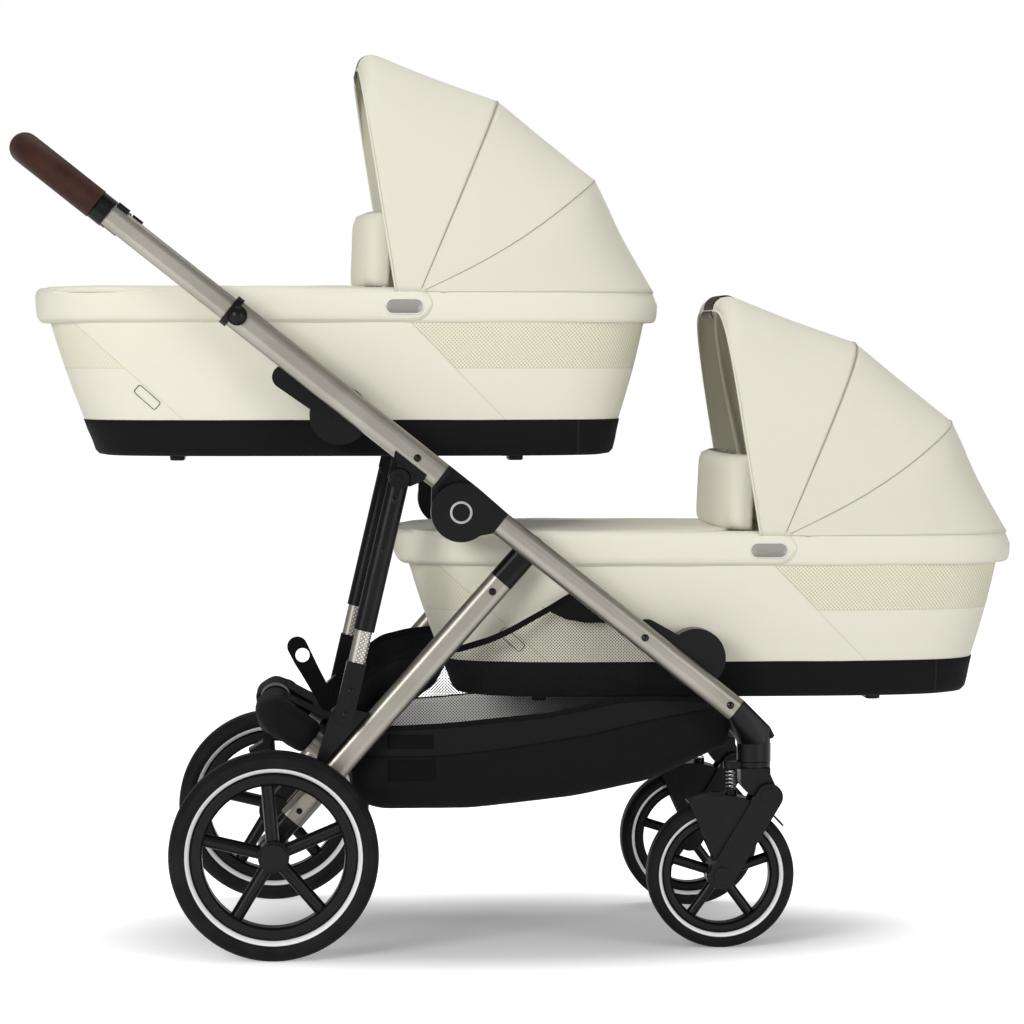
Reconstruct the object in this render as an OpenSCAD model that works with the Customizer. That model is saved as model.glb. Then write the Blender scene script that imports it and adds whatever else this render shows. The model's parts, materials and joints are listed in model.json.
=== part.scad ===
// Twin pram: a folding tube frame that carries two equal carrycots, one behind and above the other.
// Front is +X, left is +Y and up is +Z. The origin is on the floor under the middle of the pram.
// Places along X are counted from the main hinge, and the hinge's own place centres the pram.

/* [Main line] */
// Slope of the push tubes and front legs, in degrees below level
line_angle = 38.4; // [38:0.1:38.8]
// Height of the main hinge
hinge_z = 595; // [593:0.5:597]
// Distance of the hinge below the tubes' centre line
hinge_drop = 21; // [20.5:0.25:22]
// Radius of the hinge discs
disc_r = 40; // [38:0.5:41]
// Distance from the hinge to the tube ends on both sides
hinge_gap = 51; // [50:0.5:54]
// Half distance between the left and right tubes
side_y = 252; // [251:0.5:256]
// Depth of the tubes across the pram
tube_d = 26; // [24:0.5:27]
// Wall of the tubes
wall = 2; // [1.6:0.1:2.2]
// Height of the push tubes' section
push_h = 38; // [37:0.5:39]
// Distance from the hinge to the push tubes' upper end
push_len = 405; // [395:1:410]
// Height of the front legs' section
leg_h = 33; // [31:0.5:34]
// Distance from the hinge to the front legs' lower end
leg_len = 457; // [454:1:459]

/* [Handle] */
// Distance from the hinge to the handle's cross bar
handle_reach = 759; // [750:1:772]
// Radius of the handle's bends
bend_r = 60; // [50:1:75]
// Radius of the leather grip
grip_r = 21; // [20:0.5:24]
// Length of the grip down each side
grip_len = 124; // [115:1:132]
// Travel of the handle into the push tubes
handle_travel = 130; // [100:5:140]
// Travel of the height buttons
button_travel = 3; // [2:0.5:4]

/* [Rear frame] */
// Half distance between the rear legs
rear_y = 222; // [221:0.5:223]
// Height of the rear legs' section
rear_h = 35; // [33:0.5:36]
// Depth of the rear legs across the pram
rear_d = 24; // [22:0.5:25]
// Place of the rear legs' pivot ahead of the hinge
pivot_dx = 95.6; // [94:0.2:97]
// Place of the rear legs' pivot below the hinge
pivot_drop = 49.4; // [48:0.2:50]
// Length of the rear legs from their pivot
rear_len = 488; // [485:1:491]
// Place of the rear bar behind the hinge
rear_bar_dx = -248.4; // [-250:0.2:-246]
// Height of the rear bar
rear_bar_z = 322; // [320:0.5:326]
// Radius of the rear bar
rear_bar_r = 15.5; // [14.5:0.25:16]

/* [Struts] */
// Upper strut pivot behind the hinge
strut_top_dx = -82.4; // [-83:0.2:-81.6]
// Upper strut pivot above the hinge
strut_top_rise = 45; // [44.4:0.2:45.4]
// Lower strut pivot behind the hinge
strut_low_dx = -156; // [-157:0.2:-155]
// Lower strut pivot below the hinge
strut_low_drop = 271; // [270:0.2:272]
// Height of the strut sleeves' section
sleeve_h = 28; // [26:0.5:28.5]
// Length of the strut sleeves
sleeve_len = 209; // [200:1:215]

/* [Wheels] */
// Rear wheel radius
rear_r = 140; // [138:0.5:142]
// Rear wheel width
rear_w = 50; // [46:0.5:51]
// Half distance between the rear wheels
rear_track = 295; // [294:0.5:300]
// Rear axle behind the hinge
rear_axle_dx = -251.4; // [-253:0.2:-250]
// Front wheel radius
front_r = 100; // [98:0.5:101]
// Front wheel width
front_w = 44; // [40:0.5:45]
// Half distance between the casters
caster_y = 205; // [204:0.5:206]
// Caster swivel axis ahead of the front legs' lower end
swivel_ahead = 30.4; // [29:0.2:32]
// Front axle behind the swivel axis
trail = 46.5; // [45:0.25:48]
// Height of the joint between a caster head and its fork
head_z = 253; // [251:0.5:254]

/* [Cots] */
// Upper cot's middle behind the hinge
cot_dx = -146; // [-148:0.5:-144]
// Height of the upper cot's floor
cot_z = 667; // [665:0.5:670]
// Lower cot ahead of the upper one
cot_step_x = 495; // [492:0.5:498]
// Lower cot below the upper one
cot_step_z = 331; // [330:0.5:332]
// Half length of a cot at its rim
rim_x = 429; // [425:0.5:431]
// Half width of a cot at its rim
rim_y = 205; // [202:0.5:206]
// Height of the tray
tray_h = 50; // [48:0.5:52]
// Height of the rim's underside
rim_z0 = 182; // [180:0.5:184]
// Height of the rim's top
rim_z1 = 230; // [228:0.5:231]
// Canopy pivot ahead of the cot's middle
canopy_x = 95; // [93:0.5:97]
// Canopy pivot above the cot's floor
canopy_z = 243; // [243:0.5:245]

/* [Basket] */
// Half width of the basket's top
basket_y = 203.5; // [203:0.25:204.5]
// Thickness of the basket's walls
basket_t = 3; // [2.5:0.1:3]

/* [Hidden] */
$fn = 64;

// Colours
ALU = "#b0aa9e";
BLACK = "#1d1d1e";
LEATHER = "#6a4630";
CREAM = "#e8e4d2";
SILVER = "#c4c4c4";

// Fits: between bodies, inside a running pivot, and of a spigot in its tube
gap = 0.5;
run_gap = 0.05;
slip = 0.1;
spigot = 30;
pin_r = 9;

// The hinge's place puts the middle between the handle's rear and the lower cot's front at X = 0
rear_end = -handle_reach * cos(line_angle) + hinge_drop * sin(line_angle) - grip_r;
front_end = cot_dx + cot_step_x + rim_x;
hinge_x = -(rear_end + front_end) / 2;

// Handle, its collar on the push tube and the collars of its grip
handle_h = push_h - 2 * wall - 1;
handle_d = tube_d - 2 * wall - 1;
hinge_room = 170;
handle_end = hinge_room + handle_travel;
collar_x0 = -push_len - 6;
collar_x1 = -push_len + 4;
button_x = -push_len + 8;
button_r = 11.5;
button_base = side_y + tube_d / 2 + gap + button_travel;
grip_collar_len = 21;
trigger_len = 18;

// Rear legs: the axle sits a little ahead of their centre line, which gives their direction
pivot_x = hinge_x + pivot_dx;
pivot_z = hinge_z - pivot_drop;
leg_offset = 8.6;
rear_pin_r = 7;
socket_len = 60.5;
leg_bolt = 16;
axle_x = hinge_x + rear_axle_dx;
axle_reach = norm([axle_x - pivot_x, pivot_z - rear_r]);
rear_angle = atan2(pivot_z - rear_r, axle_x - pivot_x) + asin(leg_offset / axle_reach);
rear_bar_angle = 38;
axle_r = 8;

// Struts: their direction comes from the two pivots
strut_dx = strut_low_dx - strut_top_dx;
strut_dz = -strut_low_drop - strut_top_rise;
strut_len = norm([strut_dx, strut_dz]);
strut_angle = atan2(-strut_dz, strut_dx);
strut_d = tube_d - 2;
strut_pin_r = 5;
link_start = 253;
link_r = 13;

// Casters
swivel_dx = leg_len * cos(line_angle) + hinge_drop * sin(line_angle) + swivel_ahead;
swivel_x = hinge_x + swivel_dx;
front_axle_x = swivel_x - trail;
head_r = 23;
swivel_r = 8;
arm_pivot_x = swivel_x + 18;
arm_pivot_z = 207;
arm_half = 18;
arm_y0 = front_w / 2 + 2;
arm_t = 10;
front_pin_r = 6;
fender_r = front_r + 6;
fender_t = 3;
fender_low_angle = 38.5;
fender_high_angle = 114.5;
spring_x = swivel_x - 31;
spring_z0 = 214;
spring_z1 = head_z - 10.2;
spring_r = 6;
wire_r = 1.3;
spring_turns = 5;

// Cot attachment: a boss on each side of the tray faces the adapter's disc
boss_x = -18;
boss_z = 59;
boss_r = 28;
adapter_r = 40;
adapter_y = rim_y - 5;

ring_n = 36;
arch_n = 20;

// Mirrored pair of anything drawn on the left side
module both() {
    children();
    mirror([0, 1, 0]) children();
}

// One side: 1 is left, -1 is right
module on_side(side) {
    if (side > 0) children();
    else mirror([0, 1, 0]) children();
}

// Frame of the main line: x runs from the hinge down to the front, z stands square to the tubes
module at_line() {
    translate([hinge_x, 0, hinge_z]) rotate([0, line_angle, 0]) children();
}

// Frame of a rear leg: x runs down from its pivot, z faces the front
module at_rear() {
    translate([pivot_x, 0, pivot_z]) rotate([0, rear_angle, 0]) children();
}

// Frame of a strut: x runs down from its upper pivot
module at_strut() {
    translate([hinge_x + strut_top_dx, 0, hinge_z + strut_top_rise]) rotate([0, strut_angle, 0]) children();
}

// Frame of the rear bar: x runs from its cross part towards the rear legs
module at_rear_bar() {
    translate([hinge_x + rear_bar_dx, 0, rear_bar_z]) rotate([0, rear_bar_angle, 0]) children();
}

// Oval section with its long side along x
module oval(h, d) {
    for (s = [-1, 1]) translate([s * (h - d) / 2, 0]) circle(d = d);
    square([h - d, d], center = true);
}

// Oval ring section
module oval_ring(h, d, t) {
    difference() {
        oval(h, d);
        oval(h - 2 * t, d - 2 * t);
    }
}

// Solid bar along x, its section's long side upright
module bar(x0, x1, h, d) {
    translate([x0, 0, 0]) rotate([0, 90, 0]) linear_extrude(x1 - x0) oval(h, d);
}

// Hollow bar along x
module tube(x0, x1, h, d, t) {
    translate([x0, 0, 0]) rotate([0, 90, 0]) linear_extrude(x1 - x0) oval_ring(h, d, t);
}

// Round pin across the pram
module pin_y(x, z, r, y0, y1) {
    translate([x, y0, z]) rotate([-90, 0, 0]) cylinder(r = r, h = y1 - y0);
}

// Flat plate across the pram from an outline in x and z
module plate_y(y0, y1) {
    translate([0, y1, 0]) rotate([90, 0, 0]) linear_extrude(y1 - y0) children();
}

// Outline of a strap with round ends
module strap(a, b, r) {
    length = norm(b - a);
    translate(a) circle(r);
    translate(b) circle(r);
    half = r - 0.02;
    translate(a) rotate(atan2(b[1] - a[1], b[0] - a[0])) translate([0, -half]) square([length, 2 * half]);
}

// Domed bolt head that stands outwards from the plane y
module bolt(x, z, y, r = 5) {
    dome = 7;
    translate([x, y, z]) rotate([-90, 0, 0]) intersection() {
        cylinder(r = r, h = 6);
        translate([0, 0, 3.4 - dome]) sphere(dome);
    }
}

// Height of a list of [x, z] points at one x
function height(points, x) = lookup(x, points);

// Ring of points round a cot or basket: a rounded rectangle that starts at the front middle
function ring(xl, xr, w, z, e = 4) = [
    for (i = [0:ring_n - 1])
        let (t = 360 * i / ring_n, c = cos(t), s = sin(t))
        [(xl + xr) / 2 + (xr - xl) / 2 * sign(c) * pow(abs(c), 2 / e), w * sign(s) * pow(abs(s), 2 / e), z]
];

// The same ring with its height read from a list
function ring_over(xl, xr, w, heights, lift, e = 5) = [
    for (p = ring(xl, xr, w, 0, e)) [p[0], p[1], height(heights, p[0]) + lift]
];

// Triangles between neighbouring rings
function ring_sides(m, n, total) = [
    for (k = [0:m - 1], i = [0:n - 1])
        let (a = k * n + i, b = k * n + (i + 1) % n, c = (a + n) % total, d = (b + n) % total)
        each [[a, c, d], [a, d, b]]
];

// Triangles that close a ring across the pram
function ring_cap(n, start, up) = [
    for (i = [0:n / 2 - 1])
        let (p = start + i, q = start + i + 1, r = start + n - i - 1, s = start + (n - i) % n)
        for (f = concat(q == r ? [] : [[p, q, r]], p == s ? [] : [[p, r, s]]))
        up ? [f[2], f[1], f[0]] : f
];

// Closed solid through rings, shut across its first and last ring
module loft(rings) {
    n = len(rings[0]);
    m = len(rings);
    faces = concat(ring_sides(m - 1, n, m * n), ring_cap(n, 0, false), ring_cap(n, (m - 1) * n, true));
    polyhedron([for (r = rings) each r], faces);
}

// Closed hoop through rings, the last ring joining the first
module hoop(rings) {
    n = len(rings[0]);
    m = len(rings);
    polyhedron([for (r = rings) each r], ring_sides(m, n, m * n));
}

// Sheet of cloth with a thickness, from two equal grids of points
module sheet(outer, inner) {
    m = len(outer);
    n = len(outer[0]);
    half = m * n;
    over = [
        for (k = [0:m - 2], i = [0:n - 2])
            let (a = k * n + i, b = a + 1, c = a + n, d = c + 1)
            each [[a, b, d], [a, d, c]]
    ];
    under = [for (f = over) [f[2] + half, f[1] + half, f[0] + half]];
    edge = concat(
        [for (i = [0:n - 2]) i],
        [for (k = [0:m - 2]) k * n + n - 1],
        [for (i = [n - 1:-1:1]) (m - 1) * n + i],
        [for (k = [m - 1:-1:1]) k * n]
    );
    rim = [
        for (j = [0:len(edge) - 1])
            let (a = edge[j], b = edge[(j + 1) % len(edge)])
            each [[b, a, a + half], [b, a + half, b + half]]
    ];
    polyhedron(concat([for (r = outer) each r], [for (r = inner) each r]), concat(over, under, rim));
}

// Front legs and what is fixed to them
module front_legs() {
    color(ALU) both() at_line() translate([0, side_y, hinge_drop])
        tube(hinge_gap, leg_len, leg_h, tube_d, wall);
}

hinge_in = side_y - tube_d / 2 - 0.5;
hinge_out = side_y + tube_d / 2 + 1;
hinge_block = 6;

module hinge_lower_shells() {
    leg_top = hinge_drop + leg_h / 2;
    leg_bottom = hinge_drop - leg_h / 2;
    color(BLACK) both() at_line() {
        pin_y(0, 0, disc_r, side_y + gap / 2, hinge_out);
        plate_y(side_y + gap / 2, hinge_out)
            polygon([[0, disc_r], [hinge_gap, leg_top], [hinge_gap, leg_bottom],
                     [disc_r, -disc_r / 5], [disc_r * 0.75, -disc_r * 0.65], [0, 0]]);
        translate([hinge_gap - hinge_block, hinge_in, leg_bottom])
            cube([hinge_block, hinge_out - hinge_in, leg_h]);
        translate([0, side_y, hinge_drop])
            bar(hinge_gap - 1, hinge_gap + spigot, leg_h - 2 * wall - 2 * slip, tube_d - 2 * wall - 2 * slip);
        pin_y(0, 0, pin_r, hinge_in, side_y + 1);
    }
}

module hinge_rings() {
    ring_outer = 15;
    color(SILVER) both() at_line() difference() {
        pin_y(0, 0, ring_outer, hinge_out, hinge_out + 2);
        pin_y(0, 0, ring_outer - 3, hinge_out - 1, hinge_out + 3);
    }
}

cross_x = swivel_x - 13;
cross_z = head_z + 37;
cross_r = 11;
cross_end = caster_y - 13;

module front_cross_tube() {
    color(ALU) difference() {
        pin_y(cross_x, cross_z, cross_r, -cross_end, cross_end);
        pin_y(cross_x, cross_z, cross_r - wall, -cross_end - 1, cross_end + 1);
    }
}

lock_x0 = swivel_x + 16.4;
lock_half = 8;
lock_h = 14;
lock_z = head_z + 31;
lock_travel = 6;

module caster_heads() {
    head_h = 44;
    color(BLACK) both() {
        difference() {
            union() {
                hull() {
                    at_line() translate([0, side_y, hinge_drop])
                        bar(leg_len, leg_len + 2, leg_h, tube_d, $fn = 32);
                    translate([swivel_x, caster_y, head_z + 24]) cylinder(r = head_r - 0.4, h = 22, $fn = 32);
                }
                translate([swivel_x, caster_y, head_z]) cylinder(r = head_r, h = head_h);
            }
            translate([swivel_x, caster_y, head_z - 1]) cylinder(r = swivel_r + run_gap, h = head_h - 4);
            pin_y(cross_x, cross_z, cross_r, 0, cross_end);
            translate([lock_x0 - 0.4, caster_y - lock_half - 0.4, lock_z - lock_travel - 0.5])
                cube([40, 2 * lock_half + 0.8, lock_h + lock_travel + 1]);
        }
        at_line() translate([0, side_y, hinge_drop])
            bar(leg_len - spigot, leg_len + 1, leg_h - 2 * wall - 2 * slip, tube_d - 2 * wall - 2 * slip);
    }
}

module caster_lock(side) {
    color(BLACK) on_side(side) plate_y(caster_y - lock_half, caster_y + lock_half)
        polygon([[lock_x0, lock_z], [lock_x0 + 8, lock_z], [lock_x0 + 11, lock_z + 4],
                 [lock_x0 + 6, lock_z + lock_h], [lock_x0, lock_z + lock_h]]);
}

// Cot adapter in the main line's frame: a disc that faces the cot and an arm on the tube's inner side
module adapter(disc, arm_end) {
    tube_side = side_y - tube_d / 2;
    arm_r = 16;
    pin_y(disc[0], disc[1], adapter_r, adapter_y, tube_side);
    plate_y(tube_side - 13, tube_side) strap(disc, arm_end, arm_r);
}

lower_disc = [373.8, 42.3];
lower_arm = [298.8, 30];
upper_disc = [-207.6, 1.3];
upper_arm = [-297.4, -4.7];

module lower_cot_adapters() {
    color(BLACK) both() at_line() adapter(lower_disc, lower_arm);
}

module upper_cot_adapters() {
    color(BLACK) both() at_line() adapter(upper_disc, upper_arm);
}

module frame_bolts() {
    bolt_y = side_y + tube_d / 2;
    pin_y0 = rear_y - rear_d / 2 - 3.2;
    color(BLACK) both() {
        at_line() for (x = [lower_arm[0], leg_len - 11]) bolt(x, hinge_drop, bolt_y);
        pin_y(pivot_x, pivot_z, rear_pin_r, pin_y0, side_y - tube_d / 2);
        pin_y(pivot_x, pivot_z, rear_pin_r + 4, pin_y0, pin_y0 + 2.7);
        pin_y(pivot_x, pivot_z, rear_pin_r + 4, rear_y + rear_d / 2 + gap, side_y - tube_d / 2);
    }
}

// Basket: its ends from the hinge, and the heights of its bottom and its top edge at places along it
basket_rear = -143;
basket_front = swivel_dx - 33.6;
basket_low = [[basket_rear, 212], [basket_rear + 30, 192], [basket_rear + 160, 192],
              [basket_front - 212, 207], [basket_front - 106, 228], [basket_front, 275]];
basket_top = [[basket_rear, 292], [basket_rear + 131, 397], [basket_rear + 199, 434],
              [basket_front - 218, 480], [basket_front - 136, 404], [basket_front - 96, 373],
              [basket_front, 297]];
loop_y0 = 30;
loop_y1 = 145;

module basket() {
    bar_x = rear_bar_dx;
    loop_r = rear_bar_r + gap;
    t = basket_t;
    color(BLACK) translate([hinge_x, 0, 0]) {
        loft([
            ring_over(basket_rear + 30, basket_front - 31, basket_y - 33, basket_low, 0),
            ring_over(basket_rear + 13, basket_front - 8, basket_y - 13, basket_low, 14),
            ring_over(basket_rear, basket_front, basket_y, basket_top, 0),
            ring_over(basket_rear + t, basket_front - t, basket_y - t, basket_top, 0),
            ring_over(basket_rear + 16, basket_front - 11, basket_y - 16, basket_low, 14 + t),
            ring_over(basket_rear + 32, basket_front - 34, basket_y - 35, basket_low, t)
        ]);
        both() {
            difference() {
                pin_y(bar_x, rear_bar_z, loop_r + 9, loop_y0, loop_y1);
                pin_y(bar_x, rear_bar_z, loop_r, loop_y0 - 1, loop_y1 + 1);
            }
            plate_y(loop_y0, loop_y1)
                polygon([[bar_x + loop_r + 2, rear_bar_z - 2], [basket_rear + 9, 288], [basket_rear + 9, 284],
                         [bar_x + loop_r + 2, rear_bar_z - 6]]);
        }
    }
}

// Push arm
module push_tubes() {
    color(ALU) both() at_line() translate([0, side_y, hinge_drop])
        tube(-push_len, -hinge_gap, push_h, tube_d, wall);
}

module hinge_upper_shells() {
    push_top = hinge_drop + push_h / 2;
    push_bottom = hinge_drop - push_h / 2;
    color(BLACK) both() at_line() {
        difference() {
            union() {
                pin_y(0, 0, disc_r, hinge_in, side_y - gap / 2);
                plate_y(hinge_in, side_y - gap / 2)
                    polygon([[0, disc_r], [-hinge_gap, push_top], [-hinge_gap, push_bottom],
                             [-disc_r * 0.9, -disc_r * 0.45], [0, 0]]);
            }
            pin_y(0, 0, pin_r + run_gap, hinge_in - 1, side_y);
        }
        translate([-hinge_gap, hinge_in, push_bottom])
            cube([hinge_block, hinge_out - hinge_in, push_h]);
        translate([0, side_y, hinge_drop])
            bar(-hinge_gap - spigot, -hinge_gap + 1, push_h - 2 * wall - 2 * slip,
                tube_d - 2 * wall - 2 * slip);
    }
}

// Upper strut pivot in the main line's frame
strut_top = [strut_top_dx * cos(line_angle) - strut_top_rise * sin(line_angle),
             strut_top_dx * sin(line_angle) + strut_top_rise * cos(line_angle)];

ear_back = 26;
ear_ahead = 27;

module strut_brackets() {
    under = hinge_drop - push_h / 2;
    strut_in = side_y - strut_d / 2;
    strut_out = side_y + strut_d / 2;
    swing_r = sleeve_h / 2 + 1.5;
    px = strut_top[0];
    pz = strut_top[1];
    side_cheek = [[px - ear_back - 4, under + 10], [px + ear_ahead, under + 10], [px + 17, pz], [px, pz - 13],
                  [px - 13, pz - 8]];
    color(BLACK) both() at_line() {
        difference() {
            plate_y(strut_in, strut_out)
                polygon([[px - ear_back, under], [px + ear_ahead, under], [px + 17, pz], [px, pz]]);
            pin_y(px, pz, swing_r, strut_in - 1, strut_out + 1);
            plate_y(strut_in - 1, strut_out + 1)
                polygon([[px, pz], [px - 40, pz + 40], [px - 60, pz - 40], [px + 20, pz - 40]]);
        }
        plate_y(strut_in - gap - 6, strut_in - gap) polygon(side_cheek);
        plate_y(strut_in - gap - 1, strut_in + 1)
            polygon([[px + 17, under], [px + ear_ahead, under], [px + 21, pz + 6], [px + 17, pz + 6]]);
        plate_y(side_y + tube_d / 2, side_y + tube_d / 2 + 2)
            polygon([[px - 28, under + 8], [px + 26, under + 8], [px + 24, under], [px - 24, under]]);
        plate_y(strut_out - 1, side_y + tube_d / 2 + 2)
            polygon([[px + 17, under], [px + 26, under], [px + 20, pz + 6], [px + 17, pz + 6]]);
        pin_y(px, pz, strut_pin_r, strut_in - gap - 1, strut_out + 1);
        bolt(-hinge_gap - 40, hinge_drop, side_y + tube_d / 2);
    }
}

module tube_collars() {
    lip = 3;
    cup_y0 = side_y + tube_d / 4;
    cup_y1 = side_y + tube_d / 2 + 4.5;
    color(BLACK) both() at_line() difference() {
        union() {
            translate([0, side_y, hinge_drop]) bar(collar_x0, collar_x1, push_h + 2 * lip, tube_d + 2 * lip);
            pin_y(button_x, hinge_drop, button_r + 2, cup_y0, cup_y1);
        }
        translate([0, side_y, hinge_drop]) {
            bar(-push_len, button_x + 2 * button_r, push_h, tube_d);
            bar(collar_x0 - 1, collar_x1, handle_h + 2 * gap, handle_d + 2 * gap);
        }
        pin_y(button_x, hinge_drop, button_r + gap, side_y + handle_d / 2 + gap, cup_y1 + 1);
    }
}

module height_button(side) {
    dome = 15;
    button_h = 8;
    color(BLACK) on_side(side) at_line() translate([button_x, button_base, hinge_drop]) rotate([-90, 0, 0])
        intersection() {
            cylinder(r = button_r, h = button_h);
            translate([0, 0, button_h - dome]) sphere(dome);
        }
}

// Anything that follows the handle's bar: the section runs along both sides, the bends and the cross bar
module handle_path(side_end) {
    straight = side_y - bend_r;
    both() {
        translate([-handle_reach + bend_r, side_y, 0]) rotate([0, 90, 0])
            linear_extrude(handle_reach - bend_r - side_end) children();
        translate([-handle_reach + bend_r, straight, 0]) rotate([0, 0, 90])
            rotate_extrude(angle = 90) translate([bend_r, 0]) rotate(90) children();
    }
    translate([-handle_reach, -straight, 0]) rotate([-90, 0, 0]) rotate([0, 0, 90])
        linear_extrude(2 * straight) children();
}

module handle_tube() {
    color(ALU) at_line() translate([0, 0, hinge_drop])
        handle_path(handle_end) oval_ring(handle_h, handle_d, wall);
}

module handle_grip() {
    color(LEATHER) at_line() translate([0, 0, hinge_drop]) handle_path(handle_reach - grip_len) difference() {
        circle(grip_r);
        oval(handle_h + 2 * slip, handle_d + 2 * slip);
    }
}

module grip_collars() {
    collar_start = -handle_reach + grip_len;
    color(BLACK) both() at_line() translate([0, side_y, hinge_drop]) difference() {
        bar(collar_start, collar_start + grip_collar_len, handle_h + 7, handle_d + 7);
        bar(collar_start - 1, collar_start + grip_collar_len + 1, handle_h + 2 * slip, handle_d + 2 * slip);
    }
}

module fold_trigger() {
    trigger_x = -handle_reach + grip_len + grip_collar_len + 2;
    color(BLACK) both() at_line() translate([0, side_y, hinge_drop]) difference() {
        translate([trigger_x, -7, handle_h / 2 - 3]) cube([trigger_len, 14, 8]);
        bar(trigger_x - 1, trigger_x + trigger_len + 1, handle_h + 2 * gap, handle_d + 2 * gap);
    }
}

// Struts
module strut_sleeves() {
    rod_h = sleeve_h - 5;
    rod_d = strut_d - 5;
    color(BLACK) both() at_strut() translate([0, side_y, 0]) {
        difference() {
            union() {
                bar(0, sleeve_len, sleeve_h, strut_d);
                pin_y(0, 0, sleeve_h / 2, -strut_d / 2, strut_d / 2);
            }
            pin_y(0, 0, strut_pin_r + run_gap, -strut_d, strut_d);
            bar(sleeve_len - 40, sleeve_len + 1, rod_h + 2 * slip, rod_d + 2 * slip);
        }
        for (x = [30, 99]) bolt(x, 0, strut_d / 2, 3.5);
    }
}

module strut_rods() {
    color(ALU) both() at_strut() translate([0, side_y, 0])
        tube(sleeve_len - 40, link_start, sleeve_h - 5, strut_d - 5, wall);
}

module strut_links() {
    color(BLACK) both() at_strut() translate([0, side_y, 0]) {
        plate_y(-strut_d / 2 + 0.5, strut_d / 2 - 0.5) {
            translate([link_start, -link_r]) square([strut_len - link_start, 2 * link_r]);
            translate([strut_len, 0]) circle(link_r);
        }
        for (x = [strut_len - 33, strut_len]) bolt(x, 0, strut_d / 2 - 0.5, 4);
    }
}

// Rear frame
module rear_legs() {
    color(ALU) both() at_rear() difference() {
        translate([0, rear_y, 0]) tube(socket_len, rear_len, rear_h, rear_d, wall);
        pin_y(rear_len - leg_bolt, 0, 2 + slip, rear_y, rear_y + rear_d);
    }
}

module rear_leg_sockets() {
    color(BLACK) both() at_rear() translate([0, rear_y, 0]) {
        difference() {
            union() {
                bar(0, socket_len, rear_h, rear_d);
                pin_y(0, 0, rear_h / 2, -rear_d / 2, rear_d / 2);
            }
            pin_y(0, 0, rear_pin_r + run_gap, -rear_d, rear_d);
        }
        bar(socket_len - 1, socket_len + spigot, rear_h - 2 * wall - 2 * slip, rear_d - 2 * wall - 2 * slip);
        bolt(socket_len + 18, 0, rear_d / 2);
    }
}

// Lower strut pivot in the rear leg's frame
low_dx = strut_low_dx - pivot_dx;
low_dz = pivot_drop - strut_low_drop;
strut_low = [low_dx * cos(rear_angle) - low_dz * sin(rear_angle),
             low_dx * sin(rear_angle) + low_dz * cos(rear_angle)];
bar_side_y = rear_y - rear_d / 2 - 16;
bar_side_end = 108;
foot_heel = 22;
foot_toe = 74;

module strut_feet() {
    px = strut_low[0];
    pz = strut_low[1];
    leg_side = -rear_h / 2;
    foot_in = rear_y - rear_d / 2;
    foot_out = side_y - strut_d / 2 - gap;
    cup_depth = 26;
    color(BLACK) both() {
        difference() {
            at_rear() plate_y(foot_in, foot_out)
                polygon([[px - foot_heel, leg_side], [px - 14, pz + 8], [px - 8, pz - 13], [px + 10, pz - 15],
                         [px + foot_toe, leg_side - 10], [px + foot_toe - 2, leg_side]]);
            at_rear_bar() translate([0, bar_side_y, 0])
                rotate([0, 90, 0]) cylinder(r = rear_bar_r, h = bar_side_end);
        }
        difference() {
            at_rear_bar() translate([bar_side_end - cup_depth, bar_side_y, 0]) rotate([0, 90, 0]) difference() {
                cylinder(r = rear_bar_r + 3.5, h = cup_depth + 8);
                translate([0, 0, -1]) cylinder(r = rear_bar_r, h = cup_depth + 1);
            }
            at_rear() translate([0, rear_y, 0]) bar(socket_len, rear_len, rear_h, rear_d);
        }
    }
}

module rear_bar() {
    bend = 45;
    straight = bar_side_y - bend;
    color(ALU) at_rear_bar() {
        both() {
            translate([bend, bar_side_y, 0]) rotate([0, 90, 0]) linear_extrude(bar_side_end - bend)
                bar_section();
            translate([bend, straight, 0]) rotate([0, 0, 90])
                rotate_extrude(angle = 90) translate([bend, 0]) bar_section();
        }
        translate([0, -straight, 0]) rotate([-90, 0, 0]) linear_extrude(2 * straight) bar_section();
    }
}

module bar_section() {
    difference() {
        circle(rear_bar_r);
        circle(rear_bar_r - wall);
    }
}

module axle_housings() {
    hub_r = 22;
    inner = rear_y - rear_d / 2 - 2;
    wheel_in = rear_track - rear_w / 2;
    neck_end = max(rear_len + 6, axle_reach - 10);
    color(BLACK) both() {
        at_rear() translate([0, rear_y, 0])
            bar(rear_len - spigot, neck_end, rear_h - 2 * wall - 2 * slip, rear_d - 2 * wall - 2 * slip);
        difference() {
            pin_y(axle_x, rear_r, hub_r, inner, wheel_in - 4);
            at_rear() translate([0, rear_y, 0]) bar(socket_len, rear_len + gap, rear_h, rear_d);
        }
        pin_y(axle_x, rear_r, axle_r, wheel_in - 5, rear_track + rear_w / 2 - 6);
        at_rear() pin_y(rear_len - leg_bolt, 0, 2, rear_y, rear_y + rear_d / 2 + 1);
        at_rear() bolt(rear_len - leg_bolt, 0, rear_y + rear_d / 2, 4);
    }
}

module brake_pedal() {
    x = hinge_x + rear_bar_dx;
    half = 22;
    ring_r = rear_bar_r + 6;
    color(BLACK) difference() {
        union() {
            pin_y(x, rear_bar_z, ring_r, -half, half);
            plate_y(-half, half)
                polygon([[x - 16, rear_bar_z - 6], [x - 2, rear_bar_z - 14], [x - 8, rear_bar_z - 66],
                         [x - 34, rear_bar_z - 76], [x - 38, rear_bar_z - 70], [x - 18, rear_bar_z - 58]]);
        }
        pin_y(x, rear_bar_z, rear_bar_r + run_gap, -half - 1, half + 1);
    }
}

// Wheels: the axis is local z, and local +z faces outwards on the right side
module wheel_at(side, x, y, r) {
    on_side(-side) translate([x, -y, r]) rotate([90, 0, 0]) children();
}

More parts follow.
